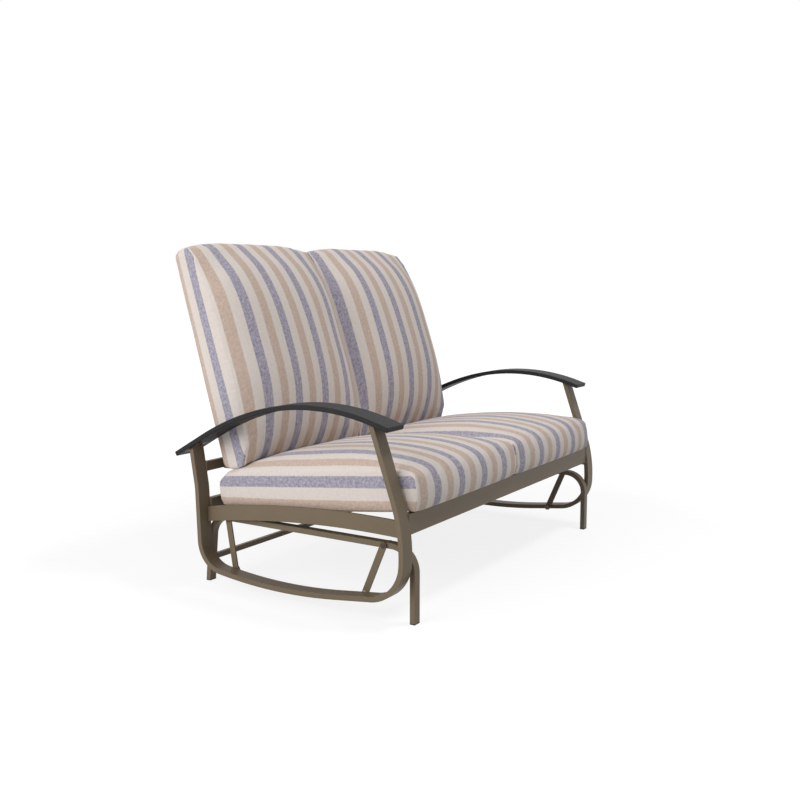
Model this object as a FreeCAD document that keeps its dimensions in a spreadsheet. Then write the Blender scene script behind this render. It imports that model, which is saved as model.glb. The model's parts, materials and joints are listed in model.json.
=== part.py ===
import FreeCAD, Part

import math
import os

import Sketcher
from FreeCAD import Placement, Rotation, Vector

# A two-seat glider bench. Its seat hangs from a low base on four links and swings fore and aft.
# X is across the bench, Y runs from front to rear and Z is up.

os.makedirs("parts", exist_ok=True)
document = FreeCAD.newDocument("GliderBench")

# Driving sizes, in millimetres and degrees.
# Y places count from the middle of the base's feet, and Z places from the floor.
SIZES = {
    # The base stands this far in front of the model's origin, which is under the middle of the bench.
    "base_ahead": 64,
    # Base hoops: a box tube up from the front foot, back along the top and down to the rear foot.
    "base_depth": 753,
    "hoop_height": 214,
    "hoop_tube_width": 26,
    "hoop_tube_depth": 16,
    "hoop_bend": 75,
    "hoop_rear_splay": 5.2,
    "stretcher_height": 72.5,
    "stretcher_tall": 16,
    "stretcher_deep": 14,
    "glide_thick": 3,
    "glide_stem": 18,
    # Side loops: a flat tube from the armrest's front down round the runner and up to its rear.
    # The corners are those of the outer face, before they are rounded.
    "loop_outer_x": 667.5,
    "loop_tube_width": 46,
    "loop_tube_depth": 15,
    "tube_wall": 1.5,
    "front_post_lean": 19.2,
    "front_knee_y": -376.5,
    "front_knee_z": 263.5,
    "front_knee_bend": 460,
    "front_corner_y": -371,
    "front_corner_z": 72,
    "front_corner_bend": 118,
    "runner_dip_y": 58,
    "runner_dip_z": 20.5,
    "runner_bend": 1680,
    "rear_corner_y": 352.5,
    "rear_corner_z": 59,
    "rear_corner_bend": 95,
    "rear_knee_y": 362,
    "rear_knee_z": 301.5,
    "rear_knee_bend": 165,
    "rear_post_lean": 9.4,
    # Armrests: one plank bent to an arch. The corners are those of its top face. The bend at the
    # fall takes what the bend at the peak and a short straight leave of the run between them.
    "arm_overhang": 12.5,
    "arm_width": 82,
    "arm_thick": 14,
    "arm_edge": 2,
    "arm_front_y": -335,
    "arm_front_z": 536.5,
    "arm_peak_y": -93,
    "arm_peak_z": 613,
    "arm_peak_bend": 735,
    "arm_fall_y": 227,
    "arm_fall_z": 517.5,
    "arm_straight": 2.19,
    "arm_rear_y": 430,
    "arm_rear_z": 404,
    "plate_long": 60,
    "plate_thick": 3,
    "arm_screw_reach": 8,
    "arm_screw_radius": 2.5,
    "arm_screw_flats": 9,
    "arm_screw_head": 3,
    # Side rails: a slim arched bar between the posts.
    "side_rail_thick": 12,
    "side_rail_tall": 45,
    "side_rail_peak_y": -3,
    "side_rail_peak_z": 297,
    "side_rail_bend": 3360,
    "side_rail_front_fall": 2.4,
    "side_rail_rear_fall": 9.5,
    # Cross rails between the two loops.
    "front_rail_top": 303,
    "front_rail_tall": 57,
    "front_rail_deep": 19,
    "front_rail_set_back": 3,
    "rear_rail_top": 263,
    "rear_rail_tall": 45,
    "rear_rail_deep": 19,
    "rear_rail_set_in": 1,
    "cross_rail_top": 373,
    "cross_rail_tall": 29,
    "cross_rail_deep": 15,
    "cross_rail_set_in": 1,
    # Back frame: three uprights that rise from the cross rail and lean back, and a bent top rail.
    # Its sides stand this far in from the armrests.
    "back_frame_set_in": 50,
    "back_frame_length": 510,
    "back_lean": 16.2,
    "back_tube_width": 21,
    "back_tube_deep": 25,
    "upright_bend": 60,
    "upright_below": 2,
    "top_rail_bend": 60,
    "top_rail_leg": 75,
    # Straps that carry the cushions, and the metal clips that hold their ends.
    # The outermost seat straps lie this far in from the loops.
    "seat_strap_count": 12,
    "seat_strap_wide": 50,
    "seat_strap_set_in": 66.5,
    "seat_strap_rear_z": 235.5,
    "seat_strap_tab": 28,
    "strap_thick": 2.5,
    "strap_bend": 5,
    "back_strap_count": 5,
    "back_strap_wide": 45,
    "back_strap_first": 35,
    "back_strap_below_top": 70,
    "clip_long": 30,
    "clip_tall": 16,
    "clip_thick": 1.5,
    "clip_set_in": 2,
    # The four links. Their upper pivots are set in from the ends of the hoops, and their lower
    # ones lie this far behind the upper ones.
    "front_pivot_set_in": 97,
    "rear_pivot_set_in": 100,
    "front_link_sweep": 61.5,
    "rear_link_sweep": -26,
    "link_wide": 20,
    "link_thick": 5,
    "pivot_bolt_radius": 4,
    "washer_thick": 1,
    "washer_radius": 9,
    "collar_thick": 1.3,
    "collar_radius": 8,
    "upper_head_flats": 15,
    "lower_head_flats": 19,
    "lower_head_thick": 5,
    "nut_flats": 13,
    "nut_thick": 6.5,
    "bolt_tail": 2,
    # The rear links' lower eyes are this much larger in radius than their bolts.
    "open_eye_play": 3,
    # How far a cut runs past what it cuts, and how much deeper a screw's hole is than the screw.
    "cut_spare": 1,
    "screw_tip_gap": 1,
    # Clearances: a part that turns, a part pushed into another, and a soft part beside its neighbour.
    "running_gap": 0.1,
    "fit_gap": 0.05,
    "rail_gap": 0.7,
    "soft_gap": 0.3,
    "plug_gap": 0.3,
    # Cushions. Each is measured from its foot end, the front of a seat or the bottom of a back, to
    # its head end. The thicknesses are those at the seams of the two ends. A side seam bows out by
    # the side crown, and the middle rises from it by the crown, which is flatter the higher the
    # fullness. Towards the sides the ends and the base are drawn in, and the side panels bulge.
    "cushion_split": 3,
    "seat_cushion_side_gap": 9.5,
    "seat_cushion_overhang": 25.5,
    "seat_cushion_long": 688.5,
    "seat_cushion_foot_thick": 114,
    "seat_cushion_head_thick": 108,
    "seat_cushion_side_crown": 5,
    "seat_cushion_crown": 38,
    "seat_cushion_fullness": 6,
    "seat_cushion_bulge": 15,
    "seat_cushion_roll": 30,
    "seat_cushion_end_draw": 8,
    "seat_cushion_base_draw": 0,
    "seat_cushion_side_bulge": 8,
    "seat_cushion_side_inset": 8,
    "back_cushion_side_gap": 1,
    "back_cushion_long": 679,
    "back_cushion_foot_thick": 112,
    "back_cushion_head_thick": 88,
    "back_cushion_side_crown": 20,
    "back_cushion_crown": 60,
    "back_cushion_fullness": 3,
    "back_cushion_bulge": 17,
    "back_cushion_roll": 35,
    "back_cushion_end_draw": 22,
    "back_cushion_base_draw": 22,
    "back_cushion_side_bulge": 8,
    "back_cushion_side_inset": 8,
}

sheet = document.addObject("Spreadsheet::Sheet", "Sheet")
for row, (alias, size) in enumerate(SIZES.items(), start=1):
    sheet.set(f"A{row}", alias)
    sheet.set(f"B{row}", str(size))
    sheet.setAlias(f"B{row}", alias)
document.recompute()


def size(name):
    """A driving size, read from the sheet."""
    return float(sheet.get(name))


SIDES = {"left": -1, "right": 1}
YZ = "YZ_Plane"
XY = "XY_Plane"
XZ = "XZ_Plane"
ACROSS = Vector(1, 0, 0)
UP = Vector(0, 0, 1)

# Places across the bench that follow from the sheet.
loop_inner_x = size("loop_outer_x") - size("loop_tube_width")
loop_middle_x = size("loop_outer_x") - size("loop_tube_width") / 2
pivot_gap = (
    2 * size("running_gap") + 2 * size("washer_thick") + size("link_thick") + size("collar_thick")
)
hoop_outer_x = loop_inner_x - pivot_gap
hoop_inner_x = hoop_outer_x - size("hoop_tube_width")
hoop_middle_x = hoop_outer_x - size("hoop_tube_width") / 2
upper_link_x = hoop_outer_x + size("running_gap") + size("washer_thick")
arm_outer_x = size("loop_outer_x") + size("arm_overhang")
arm_inner_x = arm_outer_x - size("arm_width")
back_frame_width = 2 * (arm_inner_x - size("back_frame_set_in"))

# A length that reaches past the whole bench from its middle, for lines and cuts through all of it.
beyond = 2 * size("base_depth")


# Routes. A route is a list of corners in a plane and the bend radius at each inner corner.
# It is drawn as straight runs joined by tangent arcs.


def direction(start, end):
    """The unit vector from one point to another."""
    return (end - start).normalize()


def left_of(heading):
    """The unit vector a quarter turn to the left of a heading."""
    return Vector(-heading.y, heading.x, 0)


def crossing(point_a, heading_a, point_b, heading_b):
    """Where two lines meet."""
    gap = point_b - point_a
    turn = heading_a.x * heading_b.y - heading_a.y * heading_b.x
    along = (gap.x * heading_b.y - gap.y * heading_b.x) / turn
    return point_a + heading_a * along


def shifted(corners, bends, shift):
    """The route moved sideways by shift, to the left of its travel, with its arcs concentric."""
    headings = [direction(a, b) for a, b in zip(corners, corners[1:])]
    starts = [a + left_of(heading) * shift for a, heading in zip(corners, headings)]
    moved = [starts[0]]
    radii = []
    for index, bend in enumerate(bends):
        before = headings[index]
        after = headings[index + 1]
        moved.append(crossing(starts[index], before, starts[index + 1], after))
        turns_left = before.x * after.y - before.y * after.x > 0
        radii.append(bend - shift if turns_left else bend + shift)
    moved.append(corners[-1] + left_of(headings[-1]) * shift)
    return moved, radii


def route_curves(corners, bends):
    """The straight runs and tangent arcs of a route."""
    curves = []
    start = corners[0]
    for index, bend in enumerate(bends, start=1):
        corner = corners[index]
        back = direction(corner, corners[index - 1])
        ahead = direction(corner, corners[index + 1])
        half = back.getAngle(ahead) / 2
        reach = bend / math.tan(half)
        enter = corner + back * reach
        leave = corner + ahead * reach
        middle = corner + (back + ahead).normalize() * (bend / math.sin(half))
        curves.append(Part.LineSegment(start, enter))
        turns_left = back.x * ahead.y - back.y * ahead.x < 0
        first, last = (enter, leave) if turns_left else (leave, enter)
        angle_first = math.atan2(first.y - middle.y, first.x - middle.x)
        angle_last = math.atan2(last.y - middle.y, last.x - middle.x)
        if angle_last < angle_first:
            angle_last += 2 * math.pi
        curves.append(Part.ArcOfCircle(Part.Circle(middle, UP, bend), angle_first, angle_last))
        start = leave
    curves.append(Part.LineSegment(start, corners[-1]))
    return curves


def band_curves(corners, bends, near, far):
    """The closed outline between two sideways shifts of one route."""
    near_corners, near_bends = shifted(corners, bends, near)
    far_corners, far_bends = shifted(corners, bends, far)
    caps = [
        Part.LineSegment(near_corners[0], far_corners[0]),
        Part.LineSegment(near_corners[-1], far_corners[-1]),
    ]
    return route_curves(near_corners, near_bends) + route_curves(far_corners, far_bends) + caps


def polygon_curves(corners):
    """The closed outline through some corners."""
    return [Part.LineSegment(a, b) for a, b in zip(corners, corners[1:] + corners[:1])]


def meeting(curves, point, heading):
    """The first place where a line from point along heading meets some curves."""
    line = Part.LineSegment(point, point + heading * 2 * beyond).toShape()
    hits = []
    for curve in curves:
        distance, pairs, _ = line.distToShape(curve.toShape())
        if distance < 1e-6:
            hits.append(pairs[0][0])
    return min(hits, key=lambda hit: hit.distanceToPoint(point))


def flat(y, z):
    """A point of a side view, as a sketch on the YZ plane holds it."""
    return Vector(y, z, 0)


# Bodies and features.


def new_body(label, x=0, y=0, z=0, turn=None):
    """An empty body whose origin lies at a place that counts from the base's middle."""
    body = document.addObject("PartDesign::Body", label)
    body.Label = label
    body.Placement = Placement(Vector(x, y, z), turn or Rotation())
    body.setExpression(".Placement.Base.y", f"{y!r} - Sheet.base_ahead")
    return body


def new_sketch(body, role, curves=(), ahead=0):
    """A sketch on one of the body's own planes, or ahead of it along its normal."""
    sketch = body.newObject("Sketcher::SketchObject", f"{body.Label}_sketch")
    plane = next(item for item in body.Origin.OriginFeatures if item.Role == role)
    sketch.AttachmentSupport = (plane, [""])
    sketch.MapMode = "FlatFace"
    sketch.AttachmentOffset = Placement(Vector(0, 0, ahead), Rotation())
    for curve in curves:
        index = sketch.addGeometry(curve)
        sketch.addConstraint(Sketcher.Constraint("Block", index))
    return sketch


def rectangle_sketch(body, role, wide, tall, ahead=0):
    """A rectangle about the body's origin. Its sides are bound to two expressions of the sheet."""
    sketch = new_sketch(body, role, ahead=ahead)
    corners = [Vector(-5, -5, 0), Vector(5, -5, 0), Vector(5, 5, 0), Vector(-5, 5, 0)]
    for curve in polygon_curves(corners):
        sketch.addGeometry(curve)
    for index in range(4):
        sketch.addConstraint(Sketcher.Constraint("Coincident", index, 2, (index + 1) % 4, 1))
    for index in (0, 2):
        sketch.addConstraint(Sketcher.Constraint("Horizontal", index))
    for index in (1, 3):
        sketch.addConstraint(Sketcher.Constraint("Vertical", index))
    sketch.addConstraint(Sketcher.Constraint("Symmetric", 0, 1, 2, 1, -1, 1))
    across = sketch.addConstraint(Sketcher.Constraint("DistanceX", 0, 1, 0, 2, 10))
    upward = sketch.addConstraint(Sketcher.Constraint("DistanceY", 1, 1, 1, 2, 10))
    sketch.setExpression(f"Constraints[{across}]", wide)
    sketch.setExpression(f"Constraints[{upward}]", tall)
    return sketch


def circle_sketch(body, role, places, radius, ahead=0):
    """Circles of one radius, bound to an expression of the sheet."""
    sketch = new_sketch(body, role, ahead=ahead)
    for place in places:
        index = sketch.addGeometry(Part.Circle(place, UP, 1))
        sketch.addConstraint(Sketcher.Constraint("DistanceX", -1, 1, index, 3, place.x))
        sketch.addConstraint(Sketcher.Constraint("DistanceY", -1, 1, index, 3, place.y))
        bound = sketch.addConstraint(Sketcher.Constraint("Radius", index, 1))
        sketch.setExpression(f"Constraints[{bound}]", radius)
    return sketch


def pad(body, sketch, length, midplane=True, reverse=False):
    """Adds what the sketch outlines, as far as an expression says."""
    feature = body.newObject("PartDesign::Pad", f"{body.Label}_pad")
    feature.Profile = sketch
    feature.Midplane = midplane
    feature.Reversed = reverse
    feature.setExpression("Length", length)
    document.recompute()
    return feature


def pocket(body, sketch, length, midplane=True, reverse=False):
    """Takes away what the sketch outlines, and makes sure that it took something."""
    before = body.Tip.Shape.Volume
    feature = body.newObject("PartDesign::Pocket", f"{body.Label}_pocket")
    feature.Profile = sketch
    feature.Midplane = midplane
    feature.Reversed = reverse
    feature.setExpression("Length", length)
    document.recompute()
    if feature.Shape.Volume > before - 1e-3:
        raise RuntimeError(f"{body.Label}: a pocket cuts nothing")
    return feature


def bevel(body, chosen, width):
    """Bevels the chosen edges of the body, by an expression of the sheet."""
    base = body.Tip
    names = [f"Edge{n}" for n, edge in enumerate(base.Shape.Edges, start=1) if chosen(edge)]
    feature = body.newObject("PartDesign::Chamfer", f"{body.Label}_bevel")
    feature.Base = (base, names)
    feature.setExpression("Size", width)
    document.recompute()
    return feature


def bent_tube(body, corners, bends, width, depth):
    """A box tube whose outer face follows a route in the side view."""
    wall = size("tube_wall")
    pad(body, new_sketch(body, YZ, band_curves(corners, bends, 0, size(depth))), f"Sheet.{width}")
    hollow = new_sketch(body, YZ, band_curves(corners, bends, wall, size(depth) - wall))
    pocket(body, hollow, f"Sheet.{width} - 2 * Sheet.tube_wall")


def cross_tube(label, y, z, deep, tall, length):
    """A straight box tube across the bench, open at the ends that butt against other tubes."""
    body = new_body(label, y=y, z=z)
    pad(body, rectangle_sketch(body, YZ, f"Sheet.{deep}", f"Sheet.{tall}"), f"{length!r}")
    inner = rectangle_sketch(
        body, YZ, f"Sheet.{deep} - 2 * Sheet.tube_wall", f"Sheet.{tall} - 2 * Sheet.tube_wall"
    )
    pocket(body, inner, f"{length!r} + 2 * Sheet.cut_spare")
    return body


def turned(body, profile):
    """A round part about the body's X axis, from its half outline of places along and radii."""
    outline = [Vector(along, radius, 0) for along, radius in profile]
    feature = body.newObject("PartDesign::Revolution", f"{body.Label}_turned")
    sketch = new_sketch(body, XY, polygon_curves(outline))
    feature.Profile = sketch
    feature.ReferenceAxis = (sketch, ["H_Axis"])
    feature.Angle = 360
    document.recompute()
    return feature


def copies(label, master, places):
    """Several loose copies of one piece as one node. Places count from the base's middle."""
    to_origin = Placement(Vector(0, -size("base_ahead"), 0), Rotation())
    node = document.addObject("Part::Feature", label)
    node.Label = label
    solids = []
    for place in places:
        solid = master.Tip.Shape.copy()
        solid.Placement = to_origin * place * solid.Placement
        solids.append(solid)
    node.Shape = Part.makeCompound(solids)
    return node


def side_turn(side):
    """Turns a piece made for the right side about Z, so that it serves its own side."""
    return Rotation(UP, 0 if side > 0 else 180)


def about_x(degrees):
    """A turn about X, by the right-hand rule."""
    return Rotation(ACROSS, degrees)


# Armrest routes, in the side view, from front to rear.
arm_corners = [
    flat(size("arm_front_y"), size("arm_front_z")),
    flat(size("arm_peak_y"), size("arm_peak_z")),
    flat(size("arm_fall_y"), size("arm_fall_z")),
    flat(size("arm_rear_y"), size("arm_rear_z")),
]


def bend_reach(corners, index):
    """How far a bend of unit radius reaches from its corner along the runs beside it."""
    back = direction(corners[index], corners[index - 1])
    ahead = direction(corners[index], corners[index + 1])
    return 1 / math.tan(back.getAngle(ahead) / 2)


arm_run = arm_corners[1].distanceToPoint(arm_corners[2])
arm_peak_reach = size("arm_peak_bend") * bend_reach(arm_corners, 1)
arm_fall_reach = arm_run - size("arm_straight") - arm_peak_reach
arm_bends = [size("arm_peak_bend"), arm_fall_reach / bend_reach(arm_corners, 2)]
arm_underside = route_curves(*shifted(arm_corners, arm_bends, -size("arm_thick")))


# Side loop route, outer face, from the front post's top round to the rear post's top.
def leaning(degrees):
    """The heading of a post that rises and leans to the rear."""
    return flat(math.sin(math.radians(degrees)), math.cos(math.radians(degrees)))


front_knee = flat(size("front_knee_y"), size("front_knee_z"))
rear_knee = flat(size("rear_knee_y"), size("rear_knee_z"))
front_heading = leaning(size("front_post_lean"))
rear_heading = leaning(size("rear_post_lean"))
post_spare = 2 * size("loop_tube_depth")
front_arm_hit = meeting(arm_underside, front_knee, front_heading)
rear_arm_hit = meeting(arm_underside, rear_knee, rear_heading)
loop_corners = [
    front_arm_hit + front_heading * post_spare,
    front_knee,
    flat(size("front_corner_y"), size("front_corner_z")),
    flat(size("runner_dip_y"), size("runner_dip_z")),
    flat(size("rear_corner_y"), size("rear_corner_z")),
    rear_knee,
    rear_arm_hit + rear_heading * post_spare,
]
loop_bends = [
    size("front_knee_bend"),
    size("front_corner_bend"),
    size("runner_bend"),
    size("rear_corner_bend"),
    size("rear_knee_bend"),
]
loop_depth = size("loop_tube_depth")
loop_middle_curves = route_curves(*shifted(loop_corners, loop_bends, loop_depth / 2))
loop_outer_curves = route_curves(loop_corners, loop_bends)

def runner_point(y):
    """The middle of the runner's tube at a distance from the base's middle."""
    return meeting(loop_middle_curves, flat(y, -beyond), flat(0, 1))


def post_outer_y(z, front):
    """Where the outer face of the front or the rear post is, at a height."""
    start = flat(-beyond if front else beyond, z)
    return meeting(loop_outer_curves, start, flat(1 if front else -1, 0)).x


def arm_seat(hit_corner, heading):
    """The middle of a post's top on the arm's underside, and the arm's slope there in degrees."""
    inward = Vector(heading.y, -heading.x, 0)
    sense = 1 if hit_corner.x < 0 else -1
    start = hit_corner + inward * (sense * loop_depth / 2) - heading * post_spare
    place = meeting(arm_underside, start, heading)
    behind = meeting(arm_underside, flat(place.x + loop_depth / 2, 0), flat(0, 1))
    ahead = meeting(arm_underside, flat(place.x - loop_depth / 2, 0), flat(0, 1))
    return place, math.degrees(math.atan2(behind.y - ahead.y, behind.x - ahead.x))


arm_seats = [arm_seat(front_arm_hit, front_heading), arm_seat(rear_arm_hit, rear_heading)]


def tilted_rectangle(middle, degrees, half_long, below, above):
    """The corners of a rectangle that is tilted in the side view."""
    along = flat(math.cos(math.radians(degrees)), math.sin(math.radians(degrees)))
    upward = left_of(along)
    return [
        middle - along * half_long - upward * below,
        middle + along * half_long - upward * below,
        middle + along * half_long + upward * above,
        middle - along * half_long + upward * above,
    ]


# Pivot places, in the side view.
half_base = size("base_depth") / 2
upper_pivot_z = size("hoop_height") - size("hoop_tube_depth") / 2
upper_pivots = {
    "front": flat(size("front_pivot_set_in") - half_base, upper_pivot_z),
    "rear": flat(half_base - size("rear_pivot_set_in"), upper_pivot_z),
}
lower_pivots = {
    which: runner_point(pivot.x + size(f"{which}_link_sweep"))
    for which, pivot in upper_pivots.items()
}


# The base: two hoops, the stretcher between their rear legs and the glides in their feet.

bolt_hole = "Sheet.pivot_bolt_radius + Sheet.running_gap"
splay = math.tan(math.radians(size("hoop_rear_splay")))
# The legs are drawn this much too long, and their feet are then cut level.
leg_spare = size("hoop_tube_width")
hoop_corners = [
    flat(-half_base, -leg_spare),
    flat(-half_base, size("hoop_height")),
    flat(half_base - size("hoop_height") * splay, size("hoop_height")),
    flat(half_base + leg_spare * splay, -leg_spare),
]
hoop_bends = [size("hoop_bend"), size("hoop_bend")]


def base_hoop(name, side):
    """One hoop: a bent box tube with a bolt hole through its top bar at each link."""
    body = new_body(f"base_hoop_{name}", x=side * hoop_middle_x)
    corners, bends = shifted(hoop_corners, hoop_bends, -size("hoop_tube_depth"))
    bent_tube(body, corners, bends, "hoop_tube_width", "hoop_tube_depth")
    foot_cut = [
        flat(-2 * half_base, -2 * leg_spare),
        flat(2 * half_base, -2 * leg_spare),
        flat(2 * half_base, size("glide_thick")),
        flat(-2 * half_base, size("glide_thick")),
    ]
    pocket(body, new_sketch(body, YZ, polygon_curves(foot_cut)), "Sheet.hoop_tube_width + 2 * Sheet.cut_spare")
    holes = circle_sketch(body, YZ, list(upper_pivots.values()), bolt_hole)
    pocket(body, holes, "Sheet.hoop_tube_width + 2 * Sheet.cut_spare")
    return body


def rear_leg_middle_y(z):
    """The middle of the rear leg's tube at a height."""
    cosine = math.cos(math.radians(size("hoop_rear_splay")))
    return half_base - z * splay - size("hoop_tube_depth") / 2 / cosine


def foot_glides(label, lean, middle_y):
    """The glides of one pair of feet: a foot plate and a stem that plugs the tube."""
    stem_deep = size("hoop_tube_depth") - 2 * size("tube_wall") - 2 * size("plug_gap")
    base = size("glide_thick")
    top = base + size("glide_stem")
    slope = math.tan(math.radians(lean))
    half_plate = size("hoop_tube_depth") / 2 / math.cos(math.radians(lean))
    plate = [
        flat(-half_plate, 0),
        flat(half_plate, 0),
        flat(half_plate - base * slope, base),
        flat(-half_plate - base * slope, base),
    ]
    stem = [
        flat(-stem_deep / 2 - base * slope, base),
        flat(stem_deep / 2 - base * slope, base),
        flat(stem_deep / 2 - top * slope, top),
        flat(-stem_deep / 2 - top * slope, top),
    ]
    master = new_body(f"{label}_master")
    pad(master, new_sketch(master, YZ, polygon_curves(plate)), "Sheet.hoop_tube_width")
    stem_wide = "Sheet.hoop_tube_width - 2 * Sheet.tube_wall - 2 * Sheet.plug_gap"
    pad(master, new_sketch(master, YZ, polygon_curves(stem)), stem_wide)
    places = [
        Placement(Vector(side * hoop_middle_x, middle_y, 0), Rotation()) for side in SIDES.values()
    ]
    return copies(label, master, places)


def build_base():
    """The pieces that stand still on the floor."""
    nodes = [base_hoop(name, side) for name, side in SIDES.items()]
    stretcher_z = size("stretcher_height")
    nodes.append(
        cross_tube(
            "rear_stretcher",
            rear_leg_middle_y(stretcher_z),
            stretcher_z,
            "stretcher_deep",
            "stretcher_tall",
            2 * hoop_inner_x,
        )
    )
    front_foot_y = size("hoop_tube_depth") / 2 - half_base
    nodes.append(foot_glides("foot_glides_front", 0, front_foot_y))
    nodes.append(foot_glides("foot_glides_rear", size("hoop_rear_splay"), rear_leg_middle_y(0)))
    return nodes


# The links and the washers, bolts and nuts of their pivots.
# Pivot parts are measured along X from the hoop's outer face at the upper pivots, and from the
# runner's inner face at the lower ones. Positive is outboard.

bolt = size("pivot_bolt_radius")


def link_length(which):
    """The distance between a link's two pivots."""
    return upper_pivots[which].distanceToPoint(lower_pivots[which])


def link_tilt(which):
    """How far a link leans from plumb at rest. Positive swings its lower end to the rear."""
    drop = lower_pivots[which] - upper_pivots[which]
    return math.degrees(math.atan2(drop.x, -drop.y))


def link(which, name, side):
    """A flat bar with round ends and an eye at each pivot."""
    half_wide = size("link_wide") / 2
    upper = upper_pivots[which]
    middle_x = side * (upper_link_x + size("link_thick") / 2)
    turn = about_x(link_tilt(which))
    body = new_body(f"{which}_link_{name}", middle_x, upper.x, upper.y, turn)
    length = link_length(which)
    outline = [
        Part.ArcOfCircle(Part.Circle(flat(0, 0), UP, half_wide), 0, math.pi),
        Part.LineSegment(flat(-half_wide, 0), flat(-half_wide, -length)),
        Part.ArcOfCircle(Part.Circle(flat(0, -length), UP, half_wide), math.pi, 2 * math.pi),
        Part.LineSegment(flat(half_wide, -length), flat(half_wide, 0)),
    ]
    pad(body, new_sketch(body, YZ, outline), "Sheet.link_thick")
    through = "Sheet.link_thick + 2 * Sheet.cut_spare"
    turning_eye = "Sheet.pivot_bolt_radius + Sheet.fit_gap"
    open_eye = "Sheet.pivot_bolt_radius + Sheet.open_eye_play"
    pocket(body, circle_sketch(body, YZ, [flat(0, 0)], turning_eye), through)
    lower_eye = turning_eye if which == "front" else open_eye
    pocket(body, circle_sketch(body, YZ, [flat(0, -length)], lower_eye), through)
    return body


def washer_master():
    """A plain nylon washer. It is drawn for an upper eye, from the hoop's outer face."""
    body = new_body("washer_master")
    start = size("running_gap")
    end = start + size("washer_thick")
    bore = bolt + size("fit_gap")
    rim = size("washer_radius")
    turned(body, [(start, bore), (start, rim), (end, rim), (end, bore)])
    return body


def upper_place(which, side):
    """The outer face of a hoop at an upper pivot."""
    pivot = upper_pivots[which]
    return Placement(Vector(side * hoop_outer_x, pivot.x, pivot.y), side_turn(side))


def lower_place(which, side):
    """The inner face of a runner at a lower pivot."""
    pivot = lower_pivots[which]
    return Placement(Vector(side * loop_inner_x, pivot.x, pivot.y), side_turn(side))


def flipped(place):
    """The same place, facing the other way along X."""
    return place * Placement(Vector(), Rotation(UP, 180))


def hexagon(flats):
    """A hexagon's outline, by its width across flats, with two of its corners level."""
    corner = flats / math.sqrt(3)
    angles = [math.radians(60 * step) for step in range(6)]
    return polygon_curves([flat(corner * math.cos(a), corner * math.sin(a)) for a in angles])


def upper_bolt_master():
    """A bolt through link and hoop, with a thin hexagon head."""
    body = new_body("upper_bolt_master")
    link_face = size("running_gap") + size("washer_thick") + size("link_thick")
    head_start = link_face + size("running_gap")
    head_end = pivot_gap - size("rail_gap")
    head = new_sketch(body, YZ, hexagon(size("upper_head_flats")), ahead=head_start)
    pad(body, head, f"{head_end - head_start!r}", midplane=False)
    shank = circle_sketch(body, YZ, [flat(0, 0)], "Sheet.pivot_bolt_radius", ahead=head_start)
    reach = "Sheet.hoop_tube_width + Sheet.nut_thick + Sheet.bolt_tail"
    pad(body, shank, f"{head_start!r} + {reach}", midplane=False, reverse=True)
    return body


def nut_master():
    """A hexagon nut on the hoop's inner face."""
    body = new_body("nut_master")
    outline = hexagon(size("nut_flats"))
    outline.append(Part.Circle(flat(0, 0), UP, bolt + size("fit_gap")))
    sketch = new_sketch(body, YZ, outline, ahead=-size("hoop_tube_width"))
    pad(body, sketch, "Sheet.nut_thick", midplane=False, reverse=True)
    return body


def lower_bolt_master():
    """A shoulder bolt: a collar on the runner's inner face, a shank and a hexagon head inboard."""
    body = new_body("lower_bolt_master")
    link_face = -pivot_gap + size("running_gap") + size("washer_thick")
    head_start = link_face - size("running_gap")
    collar = circle_sketch(body, YZ, [flat(0, 0)], "Sheet.collar_radius")
    pad(body, collar, "Sheet.collar_thick", midplane=False, reverse=True)
    shank = circle_sketch(body, YZ, [flat(0, 0)], "Sheet.pivot_bolt_radius")
    pad(body, shank, f"{-head_start!r}", midplane=False, reverse=True)
    head = new_sketch(body, YZ, hexagon(size("lower_head_flats")), ahead=head_start)
    pad(body, head, "Sheet.lower_head_thick", midplane=False, reverse=True)
    return body


def build_links():
    """The four links, each with its washers, and the fasteners of all eight pivots."""
    nodes = []
    washer = washer_master()
    for name, side in SIDES.items():
        for which in ("front", "rear"):
            nodes.append(link(which, name, side))
            places = [upper_place(which, side)]
            if which == "front":
                beside_collar = Placement(Vector(size("collar_thick"), 0, 0), Rotation())
                places.append(flipped(lower_place(which, side)) * beside_collar)
            nodes.append(copies(f"{which}_link_washers_{name}", washer, places))
    corners = [(which, side) for side in SIDES.values() for which in ("front", "rear")]
    upper_places = [upper_place(which, side) for which, side in corners]
    lower_places = [lower_place(which, side) for which, side in corners]
    nodes.append(copies("upper_pivot_bolts", upper_bolt_master(), upper_places))
    nodes.append(copies("upper_pivot_nuts", nut_master(), upper_places))
    nodes.append(copies("lower_pivot_bolts", lower_bolt_master(), lower_places))
    return nodes


# The swinging frame.


def side_loop(name, side):
    """A flat tube bent round the bench's side and cut off under the armrest at both ends."""
    body = new_body(f"side_loop_{name}", x=side * loop_middle_x)
    bent_tube(body, loop_corners, loop_bends, "loop_tube_width", "loop_tube_depth")
    for middle, slope in arm_seats:
        reach = 2 * loop_depth
        above = tilted_rectangle(middle, slope, reach, 0, 4 * reach)
        sketch = new_sketch(body, YZ, polygon_curves(above))
        pocket(body, sketch, "Sheet.loop_tube_width + 2 * Sheet.cut_spare")
    return body


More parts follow.
